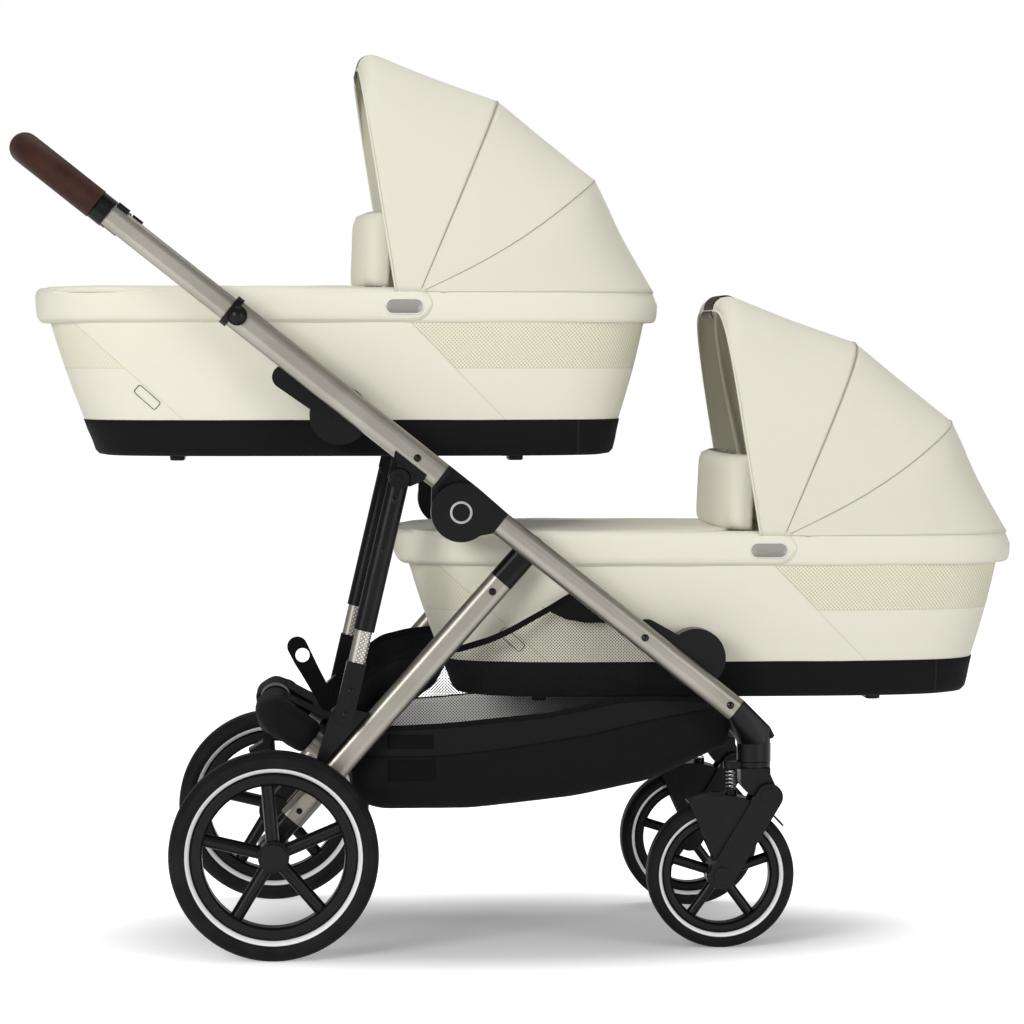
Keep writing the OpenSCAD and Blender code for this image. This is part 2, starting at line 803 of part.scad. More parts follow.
module tyre_shape(r, w, thick) {
    rotate_extrude($fn = 96) translate([r - thick / 2, 0]) rotate(90) oval(w, thick);
}

module rim_shape(r, inner, w, hub_r, hub_w, bore_r, first_spoke, spoke_w) {
    difference() {
        union() {
            rotate_extrude($fn = 96)
                polygon([[inner, -w / 2 + 3], [inner + 3, -w / 2], [r - 3, -w / 2], [r, -w / 2 + 3],
                         [r, w / 2 - 3], [r - 3, w / 2], [inner + 3, w / 2], [inner, w / 2 - 3]]);
            for (k = [0:4]) rotate(first_spoke + 72 * k) translate([hub_r - 5, 0, 0])
                rotate([0, 90, 0]) cylinder(r = spoke_w / 2, h = inner + 6 - hub_r);
            translate([0, 0, -hub_w / 2]) cylinder(r = hub_r, h = hub_w);
        }
        translate([0, 0, -hub_w]) cylinder(r = bore_r + run_gap, h = 2 * hub_w - 0.001);
    }
}

rear_tyre_t = 28;
front_tyre_t = 20;

module rear_tyre(side) {
    color(BLACK) wheel_at(side, axle_x, rear_track, rear_r) tyre_shape(rear_r, rear_w, rear_tyre_t);
}

module rear_rim(side) {
    rim_r = rear_r - rear_tyre_t;
    color(BLACK) wheel_at(side, axle_x, rear_track, rear_r) {
        rim_shape(rim_r, rim_r - 17, 32, 21, rear_w - 6, axle_r, 94.8, 18);
        translate([0, 0, rear_w / 2 - 5]) difference() {
            cylinder(r = 18, h = 8);
            translate([0, 0, -1]) cylinder(r = 12, h = 4);
        }
    }
}

module front_tyre(side) {
    color(BLACK) wheel_at(side, front_axle_x, caster_y, front_r) tyre_shape(front_r, front_w, front_tyre_t);
}

module front_rim(side) {
    rim_r = front_r - front_tyre_t;
    color(BLACK) wheel_at(side, front_axle_x, caster_y, front_r)
        rim_shape(rim_r, rim_r - 13, 28, 20, front_w + 2, front_pin_r, 18.5, 14);
}

// Casters
module caster_fork(side) {
    crown_h = 9.5;
    crown_z = head_z - gap - crown_h;
    barrel_half = arm_y0 - 0.5;
    color(BLACK) on_side(side) difference() {
        union() {
            translate([swivel_x, caster_y, crown_z]) {
                cylinder(r = head_r - 0.5, h = crown_h);
                cylinder(r = swivel_r, h = head_h_inside + crown_h);
            }
            translate([spring_x, caster_y, crown_z]) cylinder(r = 11, h = crown_h);
            translate([spring_x, caster_y - 11, crown_z]) cube([swivel_x - spring_x, 22, crown_h]);
            plate_y(caster_y - barrel_half, caster_y + barrel_half)
                polygon([[swivel_x - 20, crown_z + 2], [swivel_x + 20, crown_z + 2],
                         [swivel_x + 20, crown_z - 6], [arm_pivot_x + 12, arm_pivot_z + 8],
                         [arm_pivot_x + 13, arm_pivot_z], [arm_pivot_x - 13, arm_pivot_z],
                         [swivel_x - 8, arm_pivot_z + 2], [swivel_x - 19, arm_pivot_z + 15],
                         [swivel_x - 20, arm_pivot_z + 20]]);
            pin_y(arm_pivot_x, arm_pivot_z, 13.5, caster_y - barrel_half, caster_y + barrel_half);
        }
        pin_y(arm_pivot_x, arm_pivot_z, strut_pin_r + run_gap, caster_y - 60, caster_y + 60);
    }
}

head_h_inside = 34;

// Swing arm: a side plate on each side of the wheel, the mudguard between them, the axle and the pivot pin
module swing_arm(side) {
    outer = arm_y0 + arm_t;
    arm_angle = atan2(arm_pivot_z - front_r, arm_pivot_x - front_axle_x);
    color(BLACK) on_side(side) translate([0, caster_y, 0]) {
        both() {
            plate_y(arm_y0, outer) strap([arm_pivot_x, arm_pivot_z], [front_axle_x, front_r], arm_half);
            plate_y(arm_y0, arm_y0 + fender_t)
                fender_sector(arm_half - 1, fender_r + fender_t, arm_angle + 2, fender_high_angle);
            pin_y(arm_pivot_x, arm_pivot_z, 11.8, outer - 1, outer + 1);
            pin_y(front_axle_x, front_r, 12, outer - 1, outer + 2);
        }
        plate_y(-arm_y0 - 1, arm_y0 + 1)
            fender_sector(fender_r, fender_r + fender_t - 0.5, fender_low_angle, fender_high_angle - 0.4);
        pin_y(arm_pivot_x, arm_pivot_z, strut_pin_r, -outer + 1, outer - 1);
        pin_y(front_axle_x, front_r, front_pin_r, -outer + 1, outer - 1);
        translate([spring_x, 0, fender_r + front_r - 4])
            cylinder(r = 8, h = spring_z0 - fender_r - front_r + 4);
    }
}

// Part of a ring round the front axle, between two angles
module fender_sector(inner, outer, from, to) {
    far = 1.5 * outer;
    middle = (from + to) / 2;
    translate([front_axle_x, front_r]) intersection() {
        difference() {
            circle(outer);
            circle(inner);
        }
        polygon([[0, 0], far * [cos(from), sin(from)], far * [cos(middle), sin(middle)],
                 far * [cos(to), sin(to)]]);
    }
}

// Caster spring: one wire wound as a helix between the mudguard's seat and the fork's crown
spring_rise = spring_z1 - spring_z0 - 2 * wire_r - 0.6;
spring_steps = spring_turns * 8;

function coil_point(i) = [
    spring_r * cos(45 * i), spring_r * sin(45 * i), spring_z0 + wire_r + 0.3 + spring_rise * i / spring_steps
];

coil = [for (i = [0:spring_steps]) coil_point(i)];

// Least gap between the wire and its next turn, measured on the wire's own points
coil_gap = min([
    for (i = [0:spring_steps - 5], j = [i + 5:spring_steps]) norm(coil[i] - coil[j])
]) - 2 * wire_r;
echo(coil_gap = coil_gap);

module caster_spring(side) {
    sides = 6;
    slope = atan2(spring_rise / spring_turns, 2 * PI * spring_r);
    points = [
        for (i = [0:spring_steps], k = [0:sides - 1])
            let (a = 45 * i, t = 360 * k / sides,
                 out = [cos(a), sin(a), 0], up = [sin(a) * sin(slope), -cos(a) * sin(slope), cos(slope)])
            coil[i] + wire_r * (cos(t) * out + sin(t) * up)
    ];
    body = [
        for (i = [0:spring_steps - 1], k = [0:sides - 1])
            let (a = i * sides + k, b = i * sides + (k + 1) % sides)
            each [[a, a + sides, b + sides], [a, b + sides, b]]
    ];
    first = [for (k = [0:sides - 1]) k];
    last = [for (k = [sides - 1:-1:0]) spring_steps * sides + k];
    color(SILVER) on_side(side) translate([spring_x, caster_y, 0])
        polyhedron(points, concat([for (f = body) [f[2], f[1], f[0]]], [[for (k = [sides - 1:-1:0]) first[k]]],
                                  [[for (k = [sides - 1:-1:0]) last[k]]]));
}

// Cots: level 0 is the lower cot and level 1 the upper one
module at_cot(level) {
    translate([hinge_x + cot_dx + (1 - level) * cot_step_x, 0, cot_z - (1 - level) * cot_step_z]) children();
}

// Plan sizes of a cot: rear end, front end and half width at the floor, the tray's top and the wall's top
floor_xl = -rim_x + 79;
floor_xr = rim_x - 62;
floor_y = rim_y - 35;
belt_xl = -rim_x + 62;
belt_xr = rim_x - 53;
belt_y = rim_y - 30;
top_xl = -rim_x + 16;
top_xr = rim_x - 18;
top_y = rim_y - 7;
skin = 5;

module cot_tray(level) {
    foot_h = 6;
    color(BLACK) at_cot(level) {
        loft([
            ring(floor_xl + 8, floor_xr - 8, floor_y - 8, 0),
            ring(floor_xl, floor_xr, floor_y, 8),
            ring(belt_xl, belt_xr, belt_y, tray_h),
            ring(belt_xl + skin, belt_xr - skin, belt_y - skin, tray_h),
            ring(floor_xl + skin, floor_xr - skin, floor_y - skin, 7)
        ]);
        both() {
            for (x = [-236, 227]) translate([x - 10, 70, -foot_h]) cube([21, 60, foot_h + 2]);
            translate([boss_x - 15, belt_y - 10, 26]) cube([30, 18, 20]);
            pin_y(boss_x, boss_z, boss_r, top_y - 15, adapter_y - gap);
        }
    }
}

module cot_wall(level) {
    z0 = tray_h + 0.2;
    z1 = rim_z0 - 0.2;
    color(CREAM) at_cot(level) hoop([
        ring(belt_xl, belt_xr, belt_y, z0),
        ring(top_xl, top_xr, top_y, z1),
        ring(top_xl + skin, top_xr - skin, top_y - skin, z1),
        ring(belt_xl + skin, belt_xr - skin, belt_y - skin, z0)
    ]);
}

hub_y0 = rim_y - 6;
hub_y1 = rim_y - 0.5;
hub_r = 12;
eye_r = 10;
eye_t = 5;
bow_r = 3;
bow_pin_r = 4;
bow_bend = 140;
bow_step = eye_t + 1.5;

module cot_rim(level) {
    middle = (rim_z0 + rim_z1) / 2;
    color(CREAM) at_cot(level) {
        hoop([
            ring(-rim_x + 14, rim_x - 16, rim_y - 6, rim_z0),
            ring(-rim_x + 3, rim_x - 3, rim_y - 1, rim_z0 + 6),
            ring(-rim_x, rim_x, rim_y, middle),
            ring(-rim_x + 2, rim_x - 2, rim_y - 1, rim_z1 - 6),
            ring(-rim_x + 8, rim_x - 8, rim_y - 6, rim_z1),
            ring(-rim_x + 17, rim_x - 17, rim_y - 15, rim_z1),
            ring(-rim_x + 24, rim_x - 24, rim_y - 20, middle),
            ring(-rim_x + 22, rim_x - 24, rim_y - 14, rim_z0)
        ]);
        both() {
            translate([canopy_x - hub_r, hub_y0, rim_z1 - 4])
                cube([2 * hub_r, hub_y1 - hub_y0, canopy_z - rim_z1 + 4]);
            pin_y(canopy_x, canopy_z, hub_r, hub_y0, fabric_y - fabric_t - 0.3);
            pin_y(canopy_x, canopy_z, bow_pin_r, hub_y0 - 2 * bow_step - 1, hub_y0 + 1);
        }
        at_bow(rear_crown) bow_shape(rear_crown, hub_y1 - bow_r, hub_r - 1);
    }
}

// Crowns of the canopy in a cot's side view, over the middle of the cot
front_hem = [12, 522];
front_crown = [30, 550];
mid_crown = [204, 483];
rear_crown = [339, 373];
rear_end_crown = [426, 234];
fabric_t = 2.5;
fabric_y = rim_y + 4;

// Frame of a bow: x runs from the pivot to the crown
module at_bow(crown) {
    translate([canopy_x, 0, canopy_z])
        rotate([0, -atan2(crown[1] - canopy_z, crown[0] - canopy_x), 0]) children();
}

// A bow is a rod bent as a U, with its crown just inside the fabric
module bow_shape(crown, y, start) {
    reach = norm(crown - [canopy_x, canopy_z]) - fabric_t - bow_r - 5;
    both() {
        translate([start, y, 0]) rotate([0, 90, 0]) cylinder(r = bow_r, h = reach - bow_bend - start);
        translate([reach - bow_bend, y - bow_bend, 0])
            rotate_extrude(angle = 90) translate([bow_bend, 0]) circle(bow_r);
    }
    translate([reach, -(y - bow_bend), 0]) rotate([-90, 0, 0]) cylinder(r = bow_r, h = 2 * (y - bow_bend));
}

// A moving bow: the rod and an eye on each pivot pin, the place counted inwards from the hub
module moving_bow(level, crown, place) {
    y1 = hub_y0 - 1.5 - place * bow_step;
    color(BLACK) at_cot(level) at_bow(crown) difference() {
        union() {
            bow_shape(crown, y1 - eye_t / 2, eye_r - 2);
            both() pin_y(0, 0, eye_r, y1 - eye_t, y1);
        }
        pin_y(0, 0, bow_pin_r + run_gap, -rim_y, rim_y);
    }
}

module cot_bow_mid(level) {
    moving_bow(level, mid_crown, 0);
}

module cot_bow_front(level) {
    moving_bow(level, front_crown, 1);
}

// One arch of the canopy from its side foot to its crown, both in the side view
function arch(foot, crown, w, e = 5.5) = [
    for (j = [0:arch_n])
        let (t = 180 * j / arch_n, c = cos(t), s = pow(sin(t), 2 / e))
        [foot[0] + (crown[0] - foot[0]) * s, w * sign(c) * pow(abs(c), 2 / e),
         foot[1] + (crown[1] - foot[1]) * s]
];

// Point between two crowns, drawn in by the cloth's own tension
function between(a, b, k, sag) = a + (b - a) * k - [0, sag];

canopy_foot = rim_z1 + 3;
canopy_arches = [
    [[62, canopy_foot], front_hem],
    [[66, canopy_foot], front_crown],
    [[84, canopy_foot], between(front_crown, mid_crown, 0.5, 5)],
    [[104, canopy_foot], mid_crown],
    [[128, canopy_foot], between(mid_crown, rear_crown, 0.5, 3)],
    [[150, canopy_foot], rear_crown],
    [[176, canopy_foot], between(rear_crown, rear_end_crown, 0.5, -4)],
    [[206, canopy_foot], rear_end_crown]
];

module cot_canopy(level) {
    outer = [for (a = canopy_arches) arch(a[0], a[1], fabric_y)];
    inner = [for (a = canopy_arches) let (d = a[1] - a[0])
             arch(a[0], a[1] - fabric_t * d / norm(d), fabric_y - fabric_t)];
    color(CREAM) at_cot(level) sheet(outer, inner);
}

// Apron: the crowned cover over the foot end and its upright wind flap
apron_front = 50;
flap_top = 340;

function flap_row(z0, z1, k, inset) = [
    for (j = [0:arch_n])
        let (t = 180 * j / arch_n, s = pow(sin(t), 0.6), c = cos(t))
        [54 - 47 * s + inset, (rim_y - 24 - inset) * sign(c) * pow(abs(c), 0.6),
         z0 + (z1 - z0) * (0.86 + 0.14 * s) * k]
];

module cot_apron(level) {
    edge = rim_z1 + 0.5;
    color(CREAM) at_cot(level) {
        loft([
            ring(-rim_x + 10, apron_front - 2, rim_y - 7, edge),
            ring(-rim_x + 8, apron_front, rim_y - 5, edge + 2),
            ring(-rim_x + 16, apron_front - 5, rim_y - 12, edge + 4.5),
            ring(-rim_x + 60, apron_front - 34, rim_y - 50, edge + 6.5),
            ring(-rim_x + 150, apron_front - 100, rim_y - 120, edge + 7.5)
        ]);
        sheet([for (k = [1, 0.5, 0]) flap_row(edge + 2, flap_top, k, 0)],
              [for (k = [1, 0.5, 0]) flap_row(edge + 2, flap_top, k, fabric_t)]);
    }
}

mattress_z = 7.5;
mattress_h = 43.5;

// Mattress ring: its inset from the floor's outline and its height, both as shares of the thickness
function mattress_ring(inset, side_inset, up) = ring(
    floor_xl + inset * mattress_h, floor_xr - inset * mattress_h, floor_y - side_inset * mattress_h,
    mattress_z + up * mattress_h
);

module cot_mattress(level) {
    color(CREAM) at_cot(level) loft([
        mattress_ring(0.41, 0.46, 0), mattress_ring(0.21, 0.25, 0.24), mattress_ring(0.18, 0.23, 0.47),
        mattress_ring(0.28, 0.32, 0.75), mattress_ring(0.92, 0.97, 0.93), mattress_ring(2.76, 2.3, 1)
    ]);
}

front_legs();
hinge_lower_shells();
hinge_rings();
front_cross_tube();
caster_heads();
lower_cot_adapters();
basket();
frame_bolts();
push_tubes();
hinge_upper_shells();
strut_brackets();
upper_cot_adapters();
tube_collars();
handle_tube();
handle_grip();
grip_collars();
fold_trigger();
height_button(1);  // height_button_left
height_button(-1);  // height_button_right
strut_sleeves();
strut_rods();
strut_links();
rear_legs();
rear_leg_sockets();
strut_feet();
rear_bar();
axle_housings();
brake_pedal();
rear_tyre(1);  // rear_tyre_left
rear_rim(1);  // rear_rim_left
rear_tyre(-1);  // rear_tyre_right
rear_rim(-1);  // rear_rim_right
front_tyre(1);  // front_tyre_left
front_rim(1);  // front_rim_left
front_tyre(-1);  // front_tyre_right
front_rim(-1);  // front_rim_right
caster_fork(1);  // caster_fork_left
swing_arm(1);  // swing_arm_left
caster_spring(1);  // caster_spring_left
caster_lock(1);  // caster_lock_left
caster_fork(-1);  // caster_fork_right
swing_arm(-1);  // swing_arm_right
caster_spring(-1);  // caster_spring_right
caster_lock(-1);  // caster_lock_right
cot_tray(1);  // upper_tray
cot_wall(1);  // upper_wall
cot_rim(1);  // upper_rim
cot_apron(1);  // upper_apron
cot_mattress(1);  // upper_mattress
cot_bow_front(1);  // upper_bow_front
cot_bow_mid(1);  // upper_bow_mid
cot_canopy(1);  // upper_canopy
cot_tray(0);  // lower_tray
cot_wall(0);  // lower_wall
cot_rim(0);  // lower_rim
cot_apron(0);  // lower_apron
cot_mattress(0);  // lower_mattress
cot_bow_front(0);  // lower_bow_front
cot_bow_mid(0);  // lower_bow_mid
cot_canopy(0);  // lower_canopy
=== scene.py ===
"""Twin pram: cloth, padding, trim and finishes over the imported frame."""
import json
import math

import bpy
import bmesh
import numpy as np
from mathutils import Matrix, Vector, noise


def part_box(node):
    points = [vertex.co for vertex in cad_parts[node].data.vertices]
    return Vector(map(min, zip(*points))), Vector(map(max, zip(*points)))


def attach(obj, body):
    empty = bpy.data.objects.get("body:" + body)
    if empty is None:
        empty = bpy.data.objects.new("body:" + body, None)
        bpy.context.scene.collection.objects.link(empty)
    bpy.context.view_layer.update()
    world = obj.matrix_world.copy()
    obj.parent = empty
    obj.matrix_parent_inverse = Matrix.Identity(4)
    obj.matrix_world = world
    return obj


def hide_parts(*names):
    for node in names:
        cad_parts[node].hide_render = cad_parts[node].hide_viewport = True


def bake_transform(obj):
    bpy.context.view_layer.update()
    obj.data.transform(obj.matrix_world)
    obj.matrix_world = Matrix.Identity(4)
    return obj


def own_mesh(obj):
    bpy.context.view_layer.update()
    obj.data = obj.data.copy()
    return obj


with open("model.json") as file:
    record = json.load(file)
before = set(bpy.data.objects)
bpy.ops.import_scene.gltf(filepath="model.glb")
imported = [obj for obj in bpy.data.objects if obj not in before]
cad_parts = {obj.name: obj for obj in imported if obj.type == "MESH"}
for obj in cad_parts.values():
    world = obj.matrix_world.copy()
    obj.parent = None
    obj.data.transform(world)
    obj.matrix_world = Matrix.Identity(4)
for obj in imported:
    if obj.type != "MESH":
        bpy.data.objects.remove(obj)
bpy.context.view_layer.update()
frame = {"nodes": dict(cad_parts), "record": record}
NODES = frame["nodes"]
SLOT_OF = {part["node"]: part["material_slot"] for part in frame["record"]["subparts"]}
JOINTS = {joint["name"]: joint for joint in frame["record"]["behaviour"]["joints"]}
HINGE = np.array(JOINTS["frame_fold"]["pos_m"]) * (1, 0, 0)
SIDES = {"left": 1, "right": -1}
COTS = ("upper", "lower")
scene = bpy.context.scene
scene.view_settings.view_transform = "Standard"


# Camera at the photograph's place, in metres and degrees

CAMERA_FROM_HINGE, CAMERA_ASIDE, CAMERA_UP = -0.24288, -5.5, 0.819
CAMERA_DOWN, CAMERA_TURN = 2.44, -3.40
LENS_MM, SENSOR_MM = 137.9, 36.0


def pram_camera():
    lens = bpy.data.cameras.new("pram_camera")
    lens.lens = LENS_MM
    lens.sensor_width = SENSOR_MM
    lens.clip_end = 60.0
    camera = bpy.data.objects.new("pram_camera", lens)
    camera.location = (HINGE[0] + CAMERA_FROM_HINGE, CAMERA_ASIDE, CAMERA_UP)
    camera.rotation_euler = (math.radians(90 - CAMERA_DOWN), 0.0, math.radians(CAMERA_TURN))
    scene.collection.objects.link(camera)
    scene.camera = camera


# Node helpers

def tint(r, g, b):
    """A colour given in screen values, as the shader wants it."""
    def level(v):
        v /= 255
        return v / 12.92 if v <= 0.04045 else ((v + 0.055) / 1.055) ** 2.4
    return (level(r), level(g), level(b), 1.0)


def black(level):
    """A near black in screen values, a trace blue."""
    return tint(level, level, level + 1)


def plug(tree, node, values):
    """Links a node's inputs to sockets, and sets those that get plain values."""
    for key, value in values.items():
        if isinstance(value, bpy.types.NodeSocket):
            tree.links.new(value, node.inputs[key])
        else:
            node.inputs[key].default_value = value


def add(tree, kind, values=None, **settings):
    made = tree.nodes.new("ShaderNode" + kind)
    for key, value in settings.items():
        setattr(made, key, value)
    plug(tree, made, values or {})
    return made


def calc(tree, operation, a, b=0.0, clamp=False):
    return add(tree, "Math", {0: a, 1: b}, operation=operation, use_clamp=clamp).outputs[0]


def plus(tree, a, b):
    return calc(tree, "ADD", a, b)


def minus(tree, a, b):
    return calc(tree, "SUBTRACT", a, b)


def times(tree, a, b):
    return calc(tree, "MULTIPLY", a, b)


def ramp(tree, value, low, high, to_low=0.0, to_high=1.0):
    """A smooth step of value from low to high."""
    made = add(tree, "MapRange", {"Value": value, "From Min": low, "From Max": high,
                                  "To Min": to_low, "To Max": to_high},
               interpolation_type="SMOOTHSTEP")
    return made.outputs["Result"]


def mix(tree, factor, a, b):
    return add(tree, "Mix", {0: factor, 6: a, 7: b}, data_type="RGBA").outputs[2]


def group(name, inputs, outputs):
    """A node group with a Vector and numbers as inputs, which puts out numbers."""
    tree = bpy.data.node_groups.new(name, "ShaderNodeTree")
    tree.interface.new_socket("Vector", in_out="INPUT", socket_type="NodeSocketVector")
    for label, value in inputs.items():
        socket = tree.interface.new_socket(label, in_out="INPUT", socket_type="NodeSocketFloat")
        socket.default_value = value
    for label in outputs:
        tree.interface.new_socket(label, in_out="OUTPUT", socket_type="NodeSocketFloat")
    return tree, tree.nodes.new("NodeGroupInput").outputs, tree.nodes.new("NodeGroupOutput")


def use(tree, shared, where, **values):
    """A shared effect at a place in the finish, by its outputs."""
    made = tree.nodes.new("ShaderNodeGroup")
    made.node_tree = shared
    plug(tree, made, {"Vector": where, **values})
    return made.outputs


# Effects that several finishes share

def weave_group():
    """Two crossing threads: a height, and a tone that follows single threads."""
    tree, inp, out = group("weave", {"Pitch": 0.001}, ("Height", "Thread"))
    scaled = add(tree, "VectorMath", {0: inp["Vector"]}, operation="SCALE")
    plug(tree, scaled, {"Scale": calc(tree, "DIVIDE", 2 * math.pi, inp["Pitch"])})
    x, y, z = add(tree, "SeparateXYZ", {0: scaled.outputs[0]}).outputs
    across = calc(tree, "SINE", plus(tree, x, z))
    along_it = calc(tree, "SINE", plus(tree, minus(tree, x, z), y))
    slub = add(tree, "TexNoise", {"Vector": scaled.outputs[0], "Scale": 0.22, "Detail": 2.0})
    plug(tree, out, {"Height": times(tree, across, along_it), "Thread": slub.outputs["Fac"]})
    return tree


def folds_group():
    """Slow swells of cloth or wear, at a given size."""
    tree, inp, out = group("folds", {"Size": 0.1}, ("Height", "Shade"))
    scale = calc(tree, "DIVIDE", 1.0, inp["Size"])
    slow = add(tree, "TexNoise", {"Vector": inp["Vector"], "Scale": scale, "Detail": 3.0,
                                  "Roughness": 0.45, "Distortion": 0.3}).outputs["Fac"]
    plug(tree, out, {"Height": slow, "Shade": ramp(tree, slow, 0.3, 0.7)})
    return tree


def grain_group():
    """Fine moulded grain: a height, and a mask of its high places."""
    tree, inp, out = group("grain", {"Size": 0.001}, ("Height", "Mask"))
    scale = calc(tree, "DIVIDE", 1.0, inp["Size"])
    cells = add(tree, "TexVoronoi", {"Vector": inp["Vector"], "Scale": scale}).outputs["Distance"]
    fine = add(tree, "TexNoise", {"Vector": inp["Vector"], "Scale": scale, "Detail": 2.0}).outputs["Fac"]
    plug(tree, out, {"Height": plus(tree, cells, fine), "Mask": ramp(tree, fine, 0.4, 0.65)})
    return tree


def line_group():
    """A straight line through a point in X and Z, at an angle: its mask, and the distance to one side."""
    tree, inp, out = group("line", {"X": 0.0, "Z": 0.0, "Angle": 0.0, "Width": 0.001}, ("Mask", "Side"))
    x, _, z = add(tree, "SeparateXYZ", {0: inp["Vector"]}).outputs
    up = times(tree, minus(tree, z, inp["Z"]), calc(tree, "COSINE", inp["Angle"]))
    ahead = times(tree, minus(tree, x, inp["X"]), calc(tree, "SINE", inp["Angle"]))
    side = minus(tree, up, ahead)
    far = calc(tree, "DIVIDE", calc(tree, "ABSOLUTE", side), inp["Width"])
    plug(tree, out, {"Side": side, "Mask": ramp(tree, far, 0.4, 1.0, 1.0, 0.0)})
    return tree


def netting_group():
    """Staggered rows of round spots in the X and Z of a vector, turned by an angle."""
    tree, inp, out = group("netting", {"Pitch": 0.003, "Angle": 0.0}, ("Height",))
    x, _, z = add(tree, "SeparateXYZ", {0: inp["Vector"]}).outputs
    turns = calc(tree, "DIVIDE", 2 * math.pi, inp["Pitch"])
    first = plus(tree, inp["Angle"], math.pi / 4)
    sine, cosine = calc(tree, "SINE", first), calc(tree, "COSINE", first)
    one_way = plus(tree, times(tree, x, cosine), times(tree, z, sine))
    other_way = minus(tree, times(tree, z, cosine), times(tree, x, sine))
    waves = [calc(tree, "COSINE", times(tree, way, turns)) for way in (one_way, other_way)]
    plug(tree, out, {"Height": plus(tree, *waves)})
    return tree


WEAVE = weave_group()
FOLDS = folds_group()
GRAIN = grain_group()
LINE = line_group()
NETTING = netting_group()


# Finishes

def finish_of(name, **plain):
    """A material with a Principled shader, its plain sockets set, and the piece's own coordinates."""
    made = bpy.data.materials.new(name)
    made.use_nodes = True
    tree = made.node_tree
    tree.nodes.clear()
    shader = add(tree, "BsdfPrincipled", {key.replace("_", " "): value for key, value in plain.items()})
    add(tree, "OutputMaterial", {"Surface": shader.outputs[0]})
    where = add(tree, "TexCoord").outputs["Object"]
    return made, tree, shader, where


def bump(tree, shader, height, strength, distance, **more):
    made = add(tree, "Bump", {"Height": height, "Strength": strength, "Distance": distance, **more})
    plug(tree, shader, {"Normal": made.outputs[0]})


def grain_rough(tree, grain, low, high):
    """Roughness that follows the grain."""
    return ramp(tree, grain["Height"], 0.3, 1.4, low, high)


def weave_rough(tree, weave, low, high):
    """Roughness that follows the threads."""
    return ramp(tree, weave["Height"], -1.0, 1.0, low, high)


ROD_LEAN = 0.2288
TUBE_METAL = 0.92


def rod_dots(tree, where):
    """Mask of the dots on the strut rods, on one side of their axis only."""
    rows = use(tree, NETTING, where, Pitch=0.0042, Angle=-ROD_LEAN)
    low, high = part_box("strut_rods")
    axis = use(tree, LINE, where, X=(low[0] + high[0]) / 2, Z=(low[2] + high[2]) / 2,
               Angle=math.pi / 2 - ROD_LEAN, Width=0.001)
    facing = ramp(tree, axis["Side"], 0.003, 0.004, 1.0, 0.0)
    return times(tree, ramp(tree, rows["Height"], 1.0, 1.3), facing)


def champagne_tube(name="champagne_tube", dots=False):
    """Pale anodised tube. With dots it has the rod's staggered rows of white dots."""
    made, tree, shader, where = finish_of(name, Metallic=TUBE_METAL)
    folds = use(tree, FOLDS, where, Size=0.09)
    grain = use(tree, GRAIN, where, Size=0.0006)
    tone = mix(tree, folds["Shade"], tint(146, 141, 132), tint(158, 154, 145))
    tone = mix(tree, times(tree, grain["Mask"], 0.25), tone, tint(174, 170, 161))
    if dots:
        spot = rod_dots(tree, where)
        tone = mix(tree, spot, tone, tint(250, 250, 248))
        plug(tree, shader, {"Metallic": minus(tree, TUBE_METAL, times(tree, spot, TUBE_METAL))})
    plug(tree, shader, {"Base Color": tone, "Roughness": grain_rough(tree, grain, 0.33, 0.43)})
    bump(tree, shader, grain["Height"], 0.05, 0.0002)
    return made


def black_moulding(name="black_moulding", low=7, high=12, rough=0.28, edge=0.0016, gloss=0.19):
    """Black moulded plastic, its hard corners softened for the light by edge metres."""
    made, tree, shader, where = finish_of(name, Specular_IOR_Level=gloss)
    grain = use(tree, GRAIN, where, Size=0.0009)
    folds = use(tree, FOLDS, where, Size=0.05)
    plug(tree, shader, {"Base Color": mix(tree, folds["Shade"], black(low), black(high)),
                        "Roughness": grain_rough(tree, grain, rough - 0.06, rough + 0.08)})
    corner = add(tree, "Bevel", {"Radius": edge}, samples=4)
    bump(tree, shader, grain["Height"], 0.14, 0.0004, Normal=corner.outputs[0])
    return made


def plated_ring():
    made, tree, shader, where = finish_of("plated_ring", Metallic=1.0)
    grain = use(tree, GRAIN, where, Size=0.0005)
    folds = use(tree, FOLDS, where, Size=0.03)
    plug(tree, shader, {"Base Color": mix(tree, folds["Shade"], tint(178, 177, 174), tint(198, 197, 194)),
                        "Roughness": grain_rough(tree, grain, 0.22, 0.36)})
    return made


